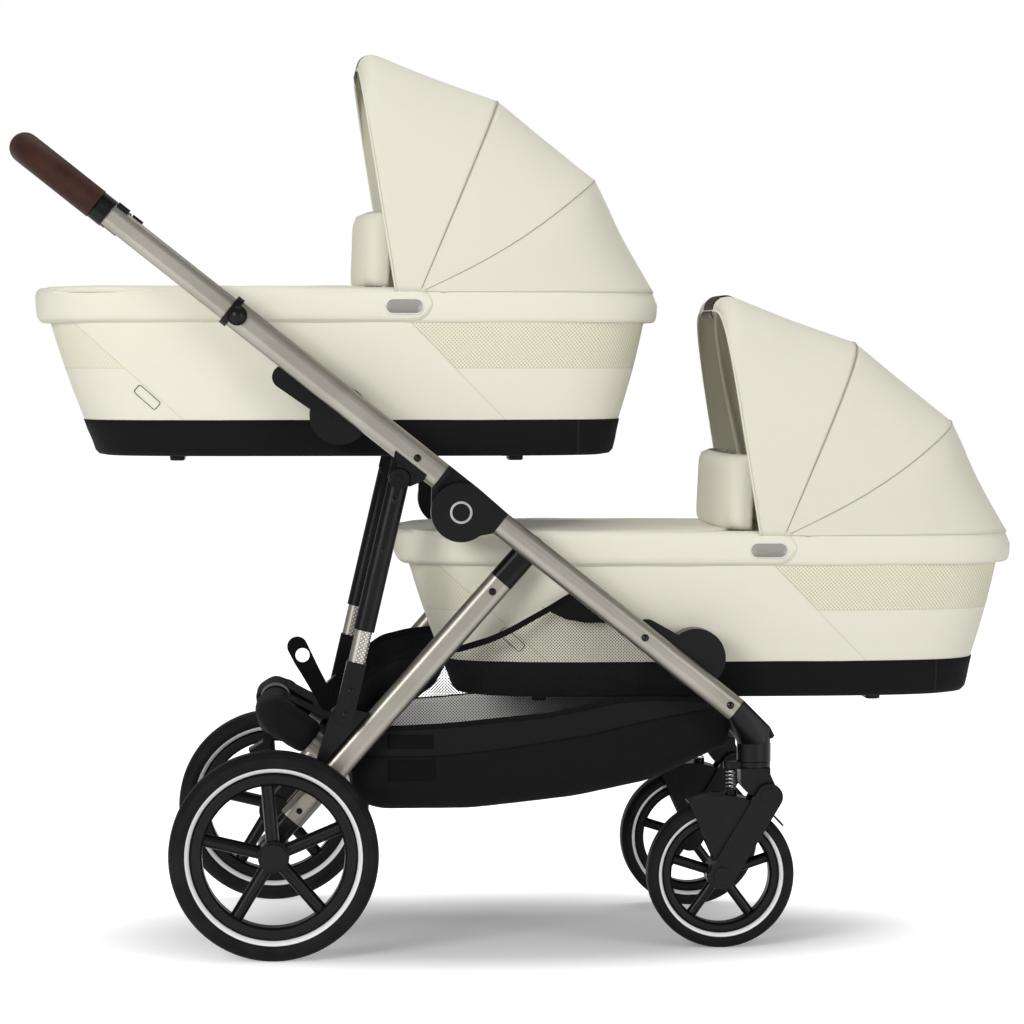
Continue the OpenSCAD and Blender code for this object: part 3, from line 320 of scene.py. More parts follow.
def tyre_rubber(name, node, stripe_low, stripe_high):
    """Black rubber with a pale reflective ring by its distance from the axle, and fine ribs round it."""
    rib_pitch, tread_from, tread_full, stripe_edge = 0.0065, 0.016, 0.010, 0.0005
    made, tree, shader, where = finish_of(name, Roughness=0.6, Specular_IOR_Level=0.12)
    low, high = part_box(node)
    radius = (high[0] - low[0]) * 0.5
    x, _, z = add(tree, "SeparateXYZ", {0: where}).outputs
    dx = minus(tree, x, (low[0] + high[0]) / 2)
    dz = minus(tree, z, (low[2] + high[2]) / 2)
    far = calc(tree, "SQRT", plus(tree, times(tree, dx, dx), times(tree, dz, dz)))
    inside = ramp(tree, far, stripe_low - stripe_edge, stripe_low + stripe_edge)
    outside = ramp(tree, far, stripe_high - stripe_edge, stripe_high + stripe_edge, 1.0, 0.0)
    grain = use(tree, GRAIN, where, Size=0.0012)
    folds = use(tree, FOLDS, where, Size=0.04)
    rubber = mix(tree, folds["Shade"], tint(14, 14, 14), tint(25, 25, 25))
    tone = mix(tree, times(tree, inside, outside), rubber, tint(246, 246, 244))
    plug(tree, shader, {"Base Color": tone})
    ribs = calc(tree, "SINE", times(tree, far, 2 * math.pi / rib_pitch))
    tread = ramp(tree, far, radius - tread_from, radius - tread_full)
    height = plus(tree, times(tree, ribs, tread), times(tree, grain["Height"], 0.35))
    bump(tree, shader, height, 0.35, 0.0008)
    return made


def grip_leather():
    made, tree, shader, where = finish_of("grip_leather", Specular_IOR_Level=0.12)
    pores = add(tree, "TexVoronoi", {"Vector": where, "Scale": 620.0}, feature="DISTANCE_TO_EDGE")
    folds = use(tree, FOLDS, where, Size=0.03)
    grain = use(tree, GRAIN, where, Size=0.0022)
    tone = mix(tree, folds["Shade"], tint(50, 28, 20), tint(60, 35, 27))
    tone = mix(tree, times(tree, grain["Mask"], 0.2), tone, tint(72, 45, 36))
    plug(tree, shader, {"Base Color": tone, "Roughness": ramp(tree, folds["Height"], 0.3, 0.7, 0.42, 0.58)})
    height = plus(tree, ramp(tree, pores.outputs["Distance"], 0.0, 0.25), grain["Height"])
    bump(tree, shader, height, 0.3, 0.0006)
    return made


# Seams as lines in X and Z, in metres from the middle of the cot's floor

FOOT_SEAM = {"X": -0.3726, "Z": 0.1804, "Angle": -0.7259, "Width": 0.0012}
HEAD_SEAM = {"X": 0.0824, "Z": 0.1813, "Angle": -0.7956, "Width": 0.0012}
LEVEL_SEAM = {"X": 0.0, "Z": 0.1203, "Angle": 0.0, "Width": 0.0010}
TRAY_SEAM = {"X": 0.312, "Z": 0.02, "Angle": 1.5708, "Width": 0.0014}
PANEL_EDGE = 0.0006


def wall_panels(tree, tone, height):
    """The wall's cloth with its seams and its airy knit ends; its holes are painted darker, as painted shade
    inside them, less so at the foot end.
    """
    local = add(tree, "Attribute", attribute_name="cot_place").outputs["Vector"]
    foot, head, level = (use(tree, LINE, local, **seam) for seam in (FOOT_SEAM, HEAD_SEAM, LEVEL_SEAM))
    foot_end = ramp(tree, foot["Side"], -PANEL_EDGE, PANEL_EDGE, 1.0, 0.0)
    head_end = ramp(tree, head["Side"], -PANEL_EDGE, PANEL_EDGE)
    end = calc(tree, "ADD", foot_end, head_end, clamp=True)
    knit = times(tree, end, ramp(tree, level["Side"], -PANEL_EDGE, PANEL_EDGE))
    unrolled = add(tree, "Attribute", attribute_name="wall_run").outputs["Vector"]
    cells = use(tree, NETTING, unrolled, Pitch=0.0036, Angle=0.0)
    holes = times(tree, ramp(tree, cells["Height"], 0.1, 1.0), knit)
    slanting = calc(tree, "MAXIMUM", foot["Mask"], head["Mask"])
    seams = calc(tree, "MAXIMUM", slanting, times(tree, level["Mask"], end))
    # Strength of the painted shade in the knit's holes, less at the foot end
    depth = minus(tree, 0.8, times(tree, foot_end, 0.5))
    tone = mix(tree, times(tree, knit, 0.55), tone, tint(234, 230, 205))
    tone = mix(tree, times(tree, holes, depth), tone, tint(180, 177, 148))
    tone = mix(tree, times(tree, seams, 0.28), tone, tint(176, 171, 148))
    return tone, minus(tree, height, plus(tree, holes, times(tree, seams, 1.4)))


def cream_cloth(name, panels=False, pitch=0.0011, low=(228, 225, 207), high=(236, 233, 217)):
    """Cream twill. With panels it has the cot wall's seams and knit ends."""
    made, tree, shader, where = finish_of(name, Specular_IOR_Level=0.25, Sheen_Weight=0.18,
                                          Sheen_Roughness=0.4)
    weave = use(tree, WEAVE, where, Pitch=pitch)
    folds = use(tree, FOLDS, where, Size=0.16)
    tone = mix(tree, weave["Thread"], tint(*low), tint(*high))
    height = plus(tree, times(tree, weave["Height"], 0.25), times(tree, folds["Height"], 2.4))
    if panels:
        tone, height = wall_panels(tree, tone, height)
    plug(tree, shader, {"Base Color": tone, "Roughness": weave_rough(tree, weave, 0.82, 0.92)})
    bump(tree, shader, height, 0.35, 0.0008)
    return made


def black_cloth(name, pitch=0.0012, low=17, high=29, tray=False):
    """Black cloth. With tray it has the upright seam of the cot's tray."""
    made, tree, shader, where = finish_of(name, Specular_IOR_Level=0.06, Sheen_Weight=0.03,
                                          Sheen_Roughness=0.5)
    weave = use(tree, WEAVE, where, Pitch=pitch)
    folds = use(tree, FOLDS, where, Size=0.08)
    tone = mix(tree, weave["Thread"], black(low), black(high))
    height = plus(tree, times(tree, weave["Height"], 0.3), folds["Height"])
    if tray:
        local = add(tree, "Attribute", attribute_name="cot_place").outputs["Vector"]
        seam = use(tree, LINE, local, **TRAY_SEAM)["Mask"]
        tone = mix(tree, times(tree, seam, 0.5), tone, tint(52, 52, 52))
        height = minus(tree, height, times(tree, seam, 1.5))
    plug(tree, shader, {"Base Color": tone, "Roughness": weave_rough(tree, weave, 0.76, 0.9)})
    bump(tree, shader, height, 0.4, 0.0007)
    return made


def net_cloth():
    """Black open net with staggered round holes."""
    made, tree, shader, where = finish_of("net_cloth", Roughness=0.8, Specular_IOR_Level=0.1)
    holes = use(tree, NETTING, where, Pitch=0.0030, Angle=0.0)
    thread = ramp(tree, holes["Height"], -1.05, -0.65, 1.0, 0.0)
    folds = use(tree, FOLDS, where, Size=0.06)
    plug(tree, shader, {"Base Color": mix(tree, folds["Shade"], black(26), black(40)), "Alpha": thread})
    bump(tree, shader, plus(tree, thread, folds["Height"]), 0.4, 0.0006)
    return made


def pill_metal():
    made, tree, shader, where = finish_of("pill_metal", Metallic=0.35)
    grain = use(tree, GRAIN, where, Size=0.0005)
    plug(tree, shader, {"Base Color": mix(tree, grain["Mask"], tint(140, 137, 131), tint(154, 151, 145)),
                        "Roughness": grain_rough(tree, grain, 0.36, 0.5)})
    return made


TUBE = champagne_tube()
ROD = champagne_tube("dotted_rod", dots=True)
MOULDING = black_moulding()
BOLT = black_moulding("bolt_black", low=5, high=8, rough=0.14, edge=0.0006, gloss=0.3)
SPOKES = black_moulding("spoke_black", high=11, gloss=0.2)
RING = plated_ring()
LEATHER = grip_leather()
CREAM = cream_cloth("cream_cloth")
CREAM_WALL = cream_cloth("cream_wall", panels=True)
# The hood's cream is a darker copy of the wall's cream: painted shade that offsets the extra light its
# upturned faces catch
SHADED_HOOD_CREAM = cream_cloth("hood_cloth_shaded", low=(221, 218, 200), high=(229, 226, 210))
PIPING = cream_cloth("cream_piping", pitch=0.0007)
TRAY = black_cloth("tray_cloth", tray=True)
BASKET = black_cloth("basket_cloth", pitch=0.0014)
WEBBING = black_cloth("black_webbing", pitch=0.0020, low=12, high=22)
MELANGE = black_cloth("melange_cloth", pitch=0.0011, low=20, high=36)
# Seam piping: cream cloth, its darker tone painted shade of the crease along the hood's seams
SHADED_SEAM = cream_cloth("shaded_hood_seam", pitch=0.0007, low=(160, 156, 140), high=(174, 170, 154))
LINING = cream_cloth("basket_lining", pitch=0.0014, low=(226, 226, 224), high=(238, 238, 236))
NET = net_cloth()
PILL = pill_metal()
REAR_RUBBER = tyre_rubber("rear_rubber", "rear_tyre_right", 0.1123, 0.1180)
FRONT_RUBBER = tyre_rubber("front_rubber", "front_tyre_right", 0.0800, 0.0846)

BY_SLOT = {"alu": TUBE, "black_plastic": MOULDING, "steel": RING, "leather": LEATHER,
           "tyre": REAR_RUBBER, "black_cloth": TRAY, "cream_cloth": CREAM}


def dress_frame():
    """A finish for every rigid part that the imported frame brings."""
    special = {"frame_bolts": BOLT, "strut_rods": ROD}
    special.update({f"{cot}_bow_{bow}": CREAM for cot in COTS for bow in ("mid", "front")})
    for side in SIDES:
        special["front_tyre_" + side] = FRONT_RUBBER
        special["rear_rim_" + side] = SPOKES
        special["front_rim_" + side] = SPOKES
    for name, part in NODES.items():
        part.data.materials.clear()
        part.data.materials.append(special.get(name, BY_SLOT[SLOT_OF[name]]))


# Mesh helpers. A shape is its points in millimetres and its faces.

X, Z = 0, 2
LOOP_SQUARE = 4.0


def sew(name, shape, finish, origin=(0, 0, 0), smooth=True, place=False):
    """A mesh piece from a shape, counted from origin in metres."""
    points, faces = shape
    points = np.asarray(points, float) / 1000
    mesh = bpy.data.meshes.new(name)
    mesh.from_pydata([tuple(p) for p in points + np.asarray(origin)], [], [tuple(f) for f in faces])
    if place:
        keep_vectors(mesh, "cot_place", points)
    mesh.polygons.foreach_set("use_smooth", [smooth] * len(mesh.polygons))
    mesh.materials.append(finish)
    piece = bpy.data.objects.new(name, mesh)
    scene.collection.objects.link(piece)
    turn_out(mesh)
    return piece


def fitted(name, shape, finish, origin, body, slot, **how):
    """A mesh piece, which rides a body if one is given; its slot is not used."""
    piece = sew(name, shape, finish, origin, **how)
    if body:
        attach(piece, body)
    return piece


def keep_vectors(mesh, name, vectors):
    """A vector for every point of a mesh, for its finish to read."""
    kept = mesh.attributes.new(name, "FLOAT_VECTOR", "POINT")
    kept.data.foreach_set("vector", np.asarray(vectors).ravel())


def turn_out(mesh):
    """Turns all faces of a mesh outward."""
    work = bmesh.new()
    work.from_mesh(mesh)
    bmesh.ops.recalc_face_normals(work, faces=work.faces)
    work.to_mesh(mesh)
    work.free()


def full_turn(count):
    return np.linspace(0, 2 * math.pi, count, endpoint=False)


def run_of(x, y):
    """Length of a line up to each of its points."""
    return np.concatenate([[0], np.cumsum(np.hypot(np.diff(x), np.diff(y)))])


def at_runs(steps, run, x, y):
    """Points of a line at given lengths along it."""
    return np.stack([np.interp(steps, run, x), np.interp(steps, run, y)], axis=1)


def superloop(xl, xr, w, count, e=LOOP_SQUARE):
    """Evenly spaced points of a rounded oblong from xl to xr, w to each side."""
    angle = np.linspace(0, 2 * np.pi, 1441)
    c, s = np.cos(angle), np.sin(angle)
    x = (xl + xr) / 2 + (xr - xl) / 2 * np.sign(c) * np.abs(c) ** (2 / e)
    y = w * np.sign(s) * np.abs(s) ** (2 / e)
    run = run_of(x, y)
    return at_runs(np.linspace(0, run[-1], count + 1)[:-1], run, x, y)


def ring_at(xl, xr, w, z, count, e=LOOP_SQUARE):
    return np.column_stack([superloop(xl, xr, w, count, e), np.full(count, float(z))])


def lofted(rings, closed_row=False, cap_low=False, cap_high=False):
    """A shape of closed rings of equal count, joined end to end if closed_row."""
    n, rows = len(rings[0]), len(rings)
    points = np.concatenate([np.asarray(ring, float) for ring in rings])
    faces = []
    for i in range(rows if closed_row else rows - 1):
        k = (i + 1) % rows
        for j in range(n):
            m = (j + 1) % n
            faces.append((i * n + j, i * n + m, k * n + m, k * n + j))
    if cap_low:
        faces.append(tuple(reversed(range(n))))
    if cap_high:
        faces.append(tuple(range((rows - 1) * n, rows * n)))
    return points, faces


def hose(path, r, around=10, closed=False):
    """A round tube along a path."""
    path = [Vector(p) for p in path]
    count = len(path)
    rings = []
    side = None
    for i, p in enumerate(path):
        ahead = path[(i + 1) % count] if closed or i + 1 < count else p
        back = path[i - 1] if closed or i else p
        run = (ahead - back).normalized()
        if side is None:
            side = run.orthogonal().normalized()
        side = (side - run * side.dot(run)).normalized()
        up = run.cross(side)
        rings.append([p + side * (r * math.cos(a)) + up * (r * math.sin(a)) for a in full_turn(around)])
    return lofted(rings, closed_row=closed, cap_low=not closed, cap_high=not closed)


def leaf(outer, inner):
    """A thin closed sheet between two equal grids of points."""
    rows, cols = outer.shape[:2]
    points = np.concatenate([outer.reshape(-1, 3), inner.reshape(-1, 3)])
    shift = rows * cols
    faces = []
    for i in range(rows - 1):
        for j in range(cols - 1):
            a, b, c, d = i * cols + j, i * cols + j + 1, (i + 1) * cols + j + 1, (i + 1) * cols + j
            faces.append((a, b, c, d))
            faces.append((a + shift, d + shift, c + shift, b + shift))
    edge = [j for j in range(cols)] + [i * cols + cols - 1 for i in range(1, rows)]
    edge += [(rows - 1) * cols + j for j in range(cols - 2, -1, -1)]
    edge += [i * cols for i in range(rows - 2, 0, -1)]
    for a, b in zip(edge, edge[1:] + edge[:1]):
        faces.append((a, a + shift, b + shift, b))
    return points, faces


def joined(shapes):
    """Several shapes as one."""
    points, faces = [], []
    for more, sides in shapes:
        faces += [tuple(n + len(points) for n in face) for face in sides]
        points += [tuple(p) for p in more]
    return points, faces


def knob(rows, sign, centre, count=40):
    """A turned piece on the Y axis: rows of Y and radius on one side, round a centre in X and Z."""
    x, z = centre
    rings = [[(x + r * math.cos(a), sign * y, z + r * math.sin(a)) for a in full_turn(count)]
             for y, r in rows]
    return lofted(rings, cap_low=True, cap_high=True)


def normals_of(grid, axis, sign):
    """Unit normals of a grid of points, turned so that the middle one has this sign on an axis."""
    up = np.cross(np.gradient(grid, axis=0), np.gradient(grid, axis=1))
    up /= np.maximum(np.linalg.norm(up, axis=2, keepdims=True), 1e-9)
    return up if up[grid.shape[0] // 2, grid.shape[1] // 2, axis] * sign > 0 else -up


def swell(points, size, depth, seed):
    """Slow uneven cloth: each point's offset, the same on every run."""
    shift = Vector((seed, 0.37, 1.9))
    return np.array([depth * noise.noise(Vector(p) / size + shift) for p in points])


# Carrycots, in millimetres from the middle of the cot's floor

AROUND = 168
# Left end, right end, half width and height
TRAY_ROWS = ((-250, 262, 100, 1.5), (-336, 352, 156, 0.6), (-346, 363, 166, 2.5), (-351, 368, 171, 8),
             (-355, 371, 173, 20), (-362, 374, 175, 36), (-367, 377, 176, 49.5), (-364, 374, 173, 51))
APRON_ROWS = ((-417, 45, 196, 223.0), (-420.6, 48.6, 199.6, 226.4), (-420.4, 48.6, 199.4, 229.6),
              (-413, 45, 193, 231.2), (-396, 36, 178, 232.0), (-369, 16, 155, 232.4),
              (-330, -10, 124, 232.8), (-290, -40, 90, 233.0), (-250, -72, 52, 233.2),
              (-212, -104, 16, 233.3))
WALL_LOW, WALL_TALL, WALL_RINGS = 50, 134, 15
RIM_X, RIM_Y, RIM_Z = 429, 205, 206
RIM_TALL, RIM_FAT = 24, 11.5
RIM_SQUARE, RIM_LEAN = 4.4, 1.4
RIM_FOOT_M = 0.182
SKIRT_X, SKIRT_LOW, SKIRT_HIGH, SKIRT_R = 110, 184.5, 229.5, 22.4
# Y and radius
HUB_ROWS = ((176, 10), (176, 15), (178, 16.5), (186, 16.5), (188, 15), (188, 6))
BOSS_ROWS = ((174, 24), (174, 28), (197.5, 28), (199.4, 26.5), (199.4, 12))
BOSS_AT = (-18, 59)
FEET_X = ((-246, -225), (217, 238))
PILL_AT, PILL_HALF, PILL_R = (72.5, 204), 15.2, 9.9
# Inset from the outline, and height
MATTRESS_ROWS = ((26, 16), (8, 16.5), (2.5, 20), (0.5, 28), (1.5, 36), (6, 42), (20, 46.5), (48, 49),
                 (90, 50.5), (140, 51))


def cot_origin(cot):
    low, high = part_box(cot + "_rim")
    return np.array([(low[0] + high[0]) / 2, 0.0, low[2] - RIM_FOOT_M])


COT_ORIGIN = {cot: cot_origin(cot) for cot in COTS}


def cot_piece(cot, name, shape, finish=CREAM, slot="cream_cloth", rides=True, **how):
    """A piece of a carrycot, counted from the middle of its floor."""
    body = f"{cot}_cot" if rides else None
    return fitted(f"{cot}_{name}", shape, finish, COT_ORIGIN[cot], body, slot, **how)


def cot_tray(cot):
    """Black lower tray with a turned-in bottom edge."""
    shape = lofted([ring_at(*row, AROUND) for row in TRAY_ROWS], cap_low=True)
    tray = cot_piece(cot, "tray_cover", shape, TRAY, "black_cloth", place=True)
    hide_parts(f"{cot}_tray")


def wall_at(k):
    """Left end, right end, half width and height of the wall at share k of its height."""
    bow = 2.0 * math.sin(math.pi * k)
    return -366 - 46 * k - bow, 375.5 + 35 * k + bow, 174.6 + 23 * k + bow * 0.5, WALL_LOW + WALL_TALL * k


def wall_half_width(x, z):
    xl, xr, w, _ = wall_at((z - WALL_LOW) / WALL_TALL)
    u = abs(x - (xl + xr) / 2) / ((xr - xl) / 2)
    return w * (1 - u ** LOOP_SQUARE) ** (1 / LOOP_SQUARE)


def cot_wall(cot):
    """Cream wall, drawn tight between tray and rim."""
    rings = [ring_at(*wall_at(k), AROUND) for k in np.linspace(0, 1, WALL_RINGS)]
    points, faces = lofted(rings)
    points[:, 1] += np.sign(points[:, 1]) * swell(points, size=70.0, depth=0.9, seed=3.0)
    wall = cot_piece(cot, "wall_cloth", (points, faces), CREAM_WALL, place=True)
    # The knit's cells follow the way round the wall, counted both ways from the head end
    middle = rings[WALL_RINGS // 2]
    step = np.linalg.norm(middle[1] - middle[0]) / 1000
    place = np.arange(AROUND)
    turn = np.tile(np.minimum(place, AROUND - place), WALL_RINGS) * step
    keep_vectors(wall.data, "wall_run", np.column_stack([turn, 0 * turn, points[:, 2] / 1000]))
    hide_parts(f"{cot}_wall")


def cot_rim_roll(cot):
    """Padded band round the top, its upper part drawn in under the hood at the head end."""
    tuck, tuck_rise, tuck_most = 8.0, 18, 1.2
    rings = []
    for a in full_turn(28):
        c, s = math.cos(a), math.sin(a)
        inset = RIM_FAT - RIM_FAT * np.sign(c) * abs(c) ** (2 / RIM_SQUARE)
        z = RIM_Z + RIM_TALL * np.sign(s) * abs(s) ** (2 / RIM_SQUARE)
        inset -= RIM_LEAN * (z - RIM_Z) / RIM_TALL
        under_hood = tuck * float(np.clip((z - RIM_Z) / tuck_rise, 0, tuck_most))
        rings.append(ring_at(-RIM_X + inset, RIM_X - inset - under_hood, RIM_Y - inset, z, AROUND))
    points, faces = lofted(rings, closed_row=True)
    points[:, 2] += swell(points, size=90.0, depth=0.8, seed=8.0)
    roll = cot_piece(cot, "rim_roll", (points, faces))
    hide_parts(f"{cot}_rim")


def cot_fittings(cot):
    """What the covers hide of the shell: hood hubs, side bosses, feet and the fixed rear bow."""
    for side, sign in SIDES.items():
        cot_piece(cot, f"hood_hub_{side}", knob(HUB_ROWS, sign, HOOD_PIVOT))
        cot_piece(cot, f"side_boss_{side}", knob(BOSS_ROWS, sign, BOSS_AT), MOULDING, "black_plastic")
    cot_piece(cot, "tray_feet", tray_feet(), MOULDING, "black_plastic", smooth=False)
    cot_piece(cot, "rear_bow", hose(rear_bow_path(), 3.0))


def tray_feet():
    foot_y, foot_half, square = 100, 30, 6
    shapes = []
    for x0, x1 in FEET_X:
        for sign in SIDES.values():
            rings = [ring_at(x0 + inset, x1 - inset, foot_half - inset, z, 28, square) + (0, sign * foot_y, 0)
                     for inset, z in ((0, 4), (0, -4.6), (1.4, -6))]
            shapes.append(lofted(rings, cap_low=True, cap_high=True))
    return joined(shapes)


def rear_bow_path():
    """U-shaped fixed bow under the hood's rear seam."""
    inset, half, bend = 10.5, 201.5, 140
    px, pz = HOOD_PIVOT
    _, cx, cz, _ = HOOD_ROWS[REAR]
    whole = math.hypot(cx - px, cz - pz)
    ux, uz = (cx - px) / whole, (cz - pz) / whole
    straight = whole - inset - bend
    flat = [(0.0, -half), (straight, -half)]
    flat += [(straight + bend * math.sin(a), bend - half - bend * math.cos(a))
             for a in np.linspace(0.05, 1.57, 12)]
    flat += [(u, -y) for u, y in reversed(flat)]
    return [(px + ux * u, y, pz + uz * u) for u, y in flat]


def cot_apron(cot):
    """Cover over the foot end, slack on its top."""
    points, faces = lofted([ring_at(*row, AROUND) for row in APRON_ROWS], cap_high=True)
    top = np.clip((points[:, 2] - 230.4) / 2, 0, 1)
    points[:, 2] += top * (swell(points, size=85.0, depth=1.1, seed=5.0)
                           + swell(points, size=34.0, depth=0.5, seed=2.0))
    cover = cot_piece(cot, "apron_cover", (points, faces))
    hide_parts(f"{cot}_apron")


def skirt_path(end_r, count=140):
    """Outline of the rim from one side of the hood round the foot end to the other, close at its ends."""
    loop = superloop(-RIM_X, RIM_X, RIM_Y, 1440)
    kept = np.count_nonzero(loop[:, 0] <= SKIRT_X)
    start = next(i for i, (x, y) in enumerate(loop) if x <= SKIRT_X and y > 0)
    x, y = np.roll(loop, -start, axis=0)[:kept].T
    run = run_of(x, y)
    end = end_r * (1 - np.cos(np.linspace(0.05, math.pi / 2, 12)))
    steps = np.concatenate([end, np.linspace(end_r, run[-1] - end_r, count)[1:-1], run[-1] - end[::-1]])
    flat = at_runs(steps, run, x, y)
    ahead = np.gradient(flat, steps, axis=0)
    out = np.stack([ahead[:, 1], -ahead[:, 0]], axis=1)
    out /= np.linalg.norm(out, axis=1, keepdims=True)
    if out[len(out) // 2, 0] > 0:
        out = -out
    return flat, out, steps, run[-1]


def rim_inset(z):
    """How far the rim's outer face lies inside its outline at a height."""
    t = (z - RIM_Z) / RIM_TALL
    return RIM_FAT - RIM_FAT * (1 - min(1, abs(t)) ** RIM_SQUARE) ** (1 / RIM_SQUARE) - RIM_LEAN * t


def skirt_band(cot):
    """Padded skirt of the apron over the rim, with round ends."""
    proud, edge, sunk = 2.2, 0.5, 0.6
    flat, out, steps, total = skirt_path(SKIRT_R)
    rows = np.linspace(-1, 1, 13)
    outer = np.zeros((len(steps), len(rows), 3))
    inner = np.zeros_like(outer)
    for i, run in enumerate(steps):
        near = min(run, total - run)
        grow = math.sqrt(max(0.0, 1 - (1 - near / SKIRT_R) ** 2)) if near < SKIRT_R else 1.0
        for j, k in enumerate(rows):
            z = (SKIRT_LOW + SKIRT_HIGH) / 2 + k * grow * (SKIRT_HIGH - SKIRT_LOW) / 2
            lift = proud * (1 - abs(k) ** 4) + edge - rim_inset(z)
            outer[i, j] = (*(flat[i] + out[i] * lift), z)
            inner[i, j] = (*(flat[i] + out[i] * (-sunk - rim_inset(z))), z)
    band = cot_piece(cot, "apron_skirt", leaf(outer, inner))


def skirt_stitch(cot, side, sign):
    """Stitched edge just inside the round end of the skirt."""
    stitch_y, stitch_r = 207.4, SKIRT_R - 4
    middle = (SKIRT_LOW + SKIRT_HIGH) / 2
    path = [(SKIRT_X - SKIRT_R + stitch_r * math.cos(a), sign * stitch_y, middle + stitch_r * math.sin(a))
            for a in np.linspace(-math.pi / 2, math.pi / 2, 19)]
    cot_piece(cot, f"skirt_stitch_{side}", hose(path, 0.5, 6), PIPING)


def pill_badge(cot, side, sign):
    """Bare pill-shaped badge with a raised border."""
    x, z = PILL_AT
    rings = []
    for grow, y in ((0, 206.0), (0, 208.6), (-0.7, 209.2), (-1.6, 209.2), (-2.2, 208.7), (-8, 208.7)):
        r = PILL_R + grow
        rings.append([(x + end + r * math.cos(a), sign * y, z + r * math.sin(a))
                      for end, first in ((PILL_HALF, -math.pi / 2), (-PILL_HALF, math.pi / 2))
                      for a in np.linspace(first, first + math.pi, 16)])
    cot_piece(cot, f"pill_{side}", lofted(rings, cap_low=True, cap_high=True), PILL, "steel")
    border = hose(np.array(rings[0]) + (0, sign * 2.4, 0), 0.9, 8, closed=True)
    cot_piece(cot, f"pill_border_{side}", border, LINING)


def wall_tag(cot, side, sign):
    """Thin outlined tag on the wall, left blank."""
    centre = Vector((-275.0, 0, 81.0))
    ahead, up = Vector((0.749, 0, -0.663)), Vector((0.663, 0, 0.749))
    half_x, half_z, corner, proud = 16, 3.5, 3, 0.7
    path = []
    for x, z, first in ((half_x, half_z, 0), (-half_x, half_z, 90), (-half_x, -half_z, 180),
                        (half_x, -half_z, 270)):
        for a in np.radians(np.linspace(first, first + 90, 6)):
            p = centre + ahead * (x + corner * math.cos(a)) + up * (z + corner * math.sin(a))
            path.append((p.x, sign * (wall_half_width(p.x, p.z) + proud), p.z))
    cot_piece(cot, f"blank_tag_{side}", hose(path, 0.45, 6, closed=True), MOULDING, "black_plastic")


def wind_flap(cot):
    """Padded flap that stands up at the head of the apron, bent back at both sides."""
    rows, cols = 17, 73
    end_x, bend, half, foot, tall = 57, 47, 180, 231, 102
    lean, curl_r, curl_from, thin, fat = 5, 7, 0.86, 0.5, 6.5
    grid = np.zeros((rows, cols, 3))
    pad = np.zeros((rows, cols, 1))
    for i, k in enumerate(np.linspace(0, 1, rows)):
        curl = curl_r * (1 - math.sqrt(1 - max(0.0, (k - curl_from) / (1 - curl_from)) ** 2))
        edge = math.sqrt(max(0.0, 1 - abs(2 * k - 1) ** 6))
        for j, a in enumerate(np.linspace(0.02, math.pi - 0.02, cols)):
            c, deep = math.cos(a), math.sin(a) ** 0.6
            y = half * math.copysign(abs(c) ** 0.6, c)
            grid[i, j] = (end_x - bend * deep + lean * k + curl, y, foot + tall * k)
            pad[i, j] = thin + fat * edge * math.sqrt(max(0.0, 1 - abs(c) ** 14))
    out = normals_of(grid, X, -1)
    points, faces = leaf(grid + out * pad, grid - out * pad * 0.6)
    points += swell(points, size=60.0, depth=1.0, seed=6.0)[:, None] * np.array([1, 0.3, 0])
    flap = cot_piece(cot, "wind_flap", (points, faces))


def mattress_shape():
    left, right, half, square = -318, 334, 152, 3.6
    rings = [ring_at(left + inset, right - inset, half - inset, z, 120, square) for inset, z in MATTRESS_ROWS]
    return lofted(rings, cap_low=True, cap_high=True)


def swollen(points, faces):
    """The mattress blown up by cloth simulation, each point's travel capped."""
    steps, most_travel = 20, 0.004
    made = bpy.data.meshes.new("mattress_work")
    made.from_pydata([tuple(p / 1000) for p in points], [], [tuple(f) for f in faces])
    work = bpy.data.objects.new("mattress_work", made)
    scene.collection.objects.link(work)
    turn_out(made)
    remesh = work.modifiers.new("remesh", "REMESH")
    remesh.mode = "VOXEL"
    remesh.voxel_size = 0.006
    graph = bpy.context.evaluated_depsgraph_get()
    fine = bpy.data.meshes.new_from_object(work.evaluated_get(graph))
    work.modifiers.clear()
    work.data = fine
    start = np.array([v.co[:] for v in fine.vertices])
    cloth = work.modifiers.new("cloth", "CLOTH")
    cloth.settings.quality = 4
    cloth.settings.use_pressure = True
    cloth.settings.uniform_pressure_force = 4.0
    cloth.settings.effector_weights.gravity = 0.0
    cloth.settings.bending_stiffness = 0.6
    cloth.point_cache.frame_start = 1
    cloth.point_cache.frame_end = steps
    for step in range(1, steps + 1):
        scene.frame_set(step)
    graph = bpy.context.evaluated_depsgraph_get()
    done = work.evaluated_get(graph).to_mesh()
    moved = np.array([v.co[:] for v in done.vertices]) - start
    far = np.linalg.norm(moved, axis=1, keepdims=True)
    moved *= np.minimum(1.0, most_travel / np.maximum(far, 1e-9))
    polygons = [tuple(p.vertices) for p in fine.polygons]
    scene.frame_set(1)
    work.modifiers.clear()
    bpy.data.objects.remove(work)
    return (start + moved) * 1000, polygons


def cot_mattresses():
    """Mattress pads with quilted lines across them."""
    line_wide, line_deep, top, fade = 5.0, 2.6, 40, 6
    points, faces = mattress_shape()
    points, faces = swollen(points, faces)
    points = np.array(points)
    for x in np.linspace(-230, 250, 7):
        dip = np.exp(-((points[:, 0] - x) / line_wide) ** 2) * np.clip((points[:, 2] - top) / fade, 0, 1)
        points[:, 2] -= line_deep * dip
    for cot in COTS:
        pad = cot_piece(cot, "mattress_pad", (points, faces))
        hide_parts(f"{cot}_mattress")


# Hoods, in millimetres from the middle of the cot's floor

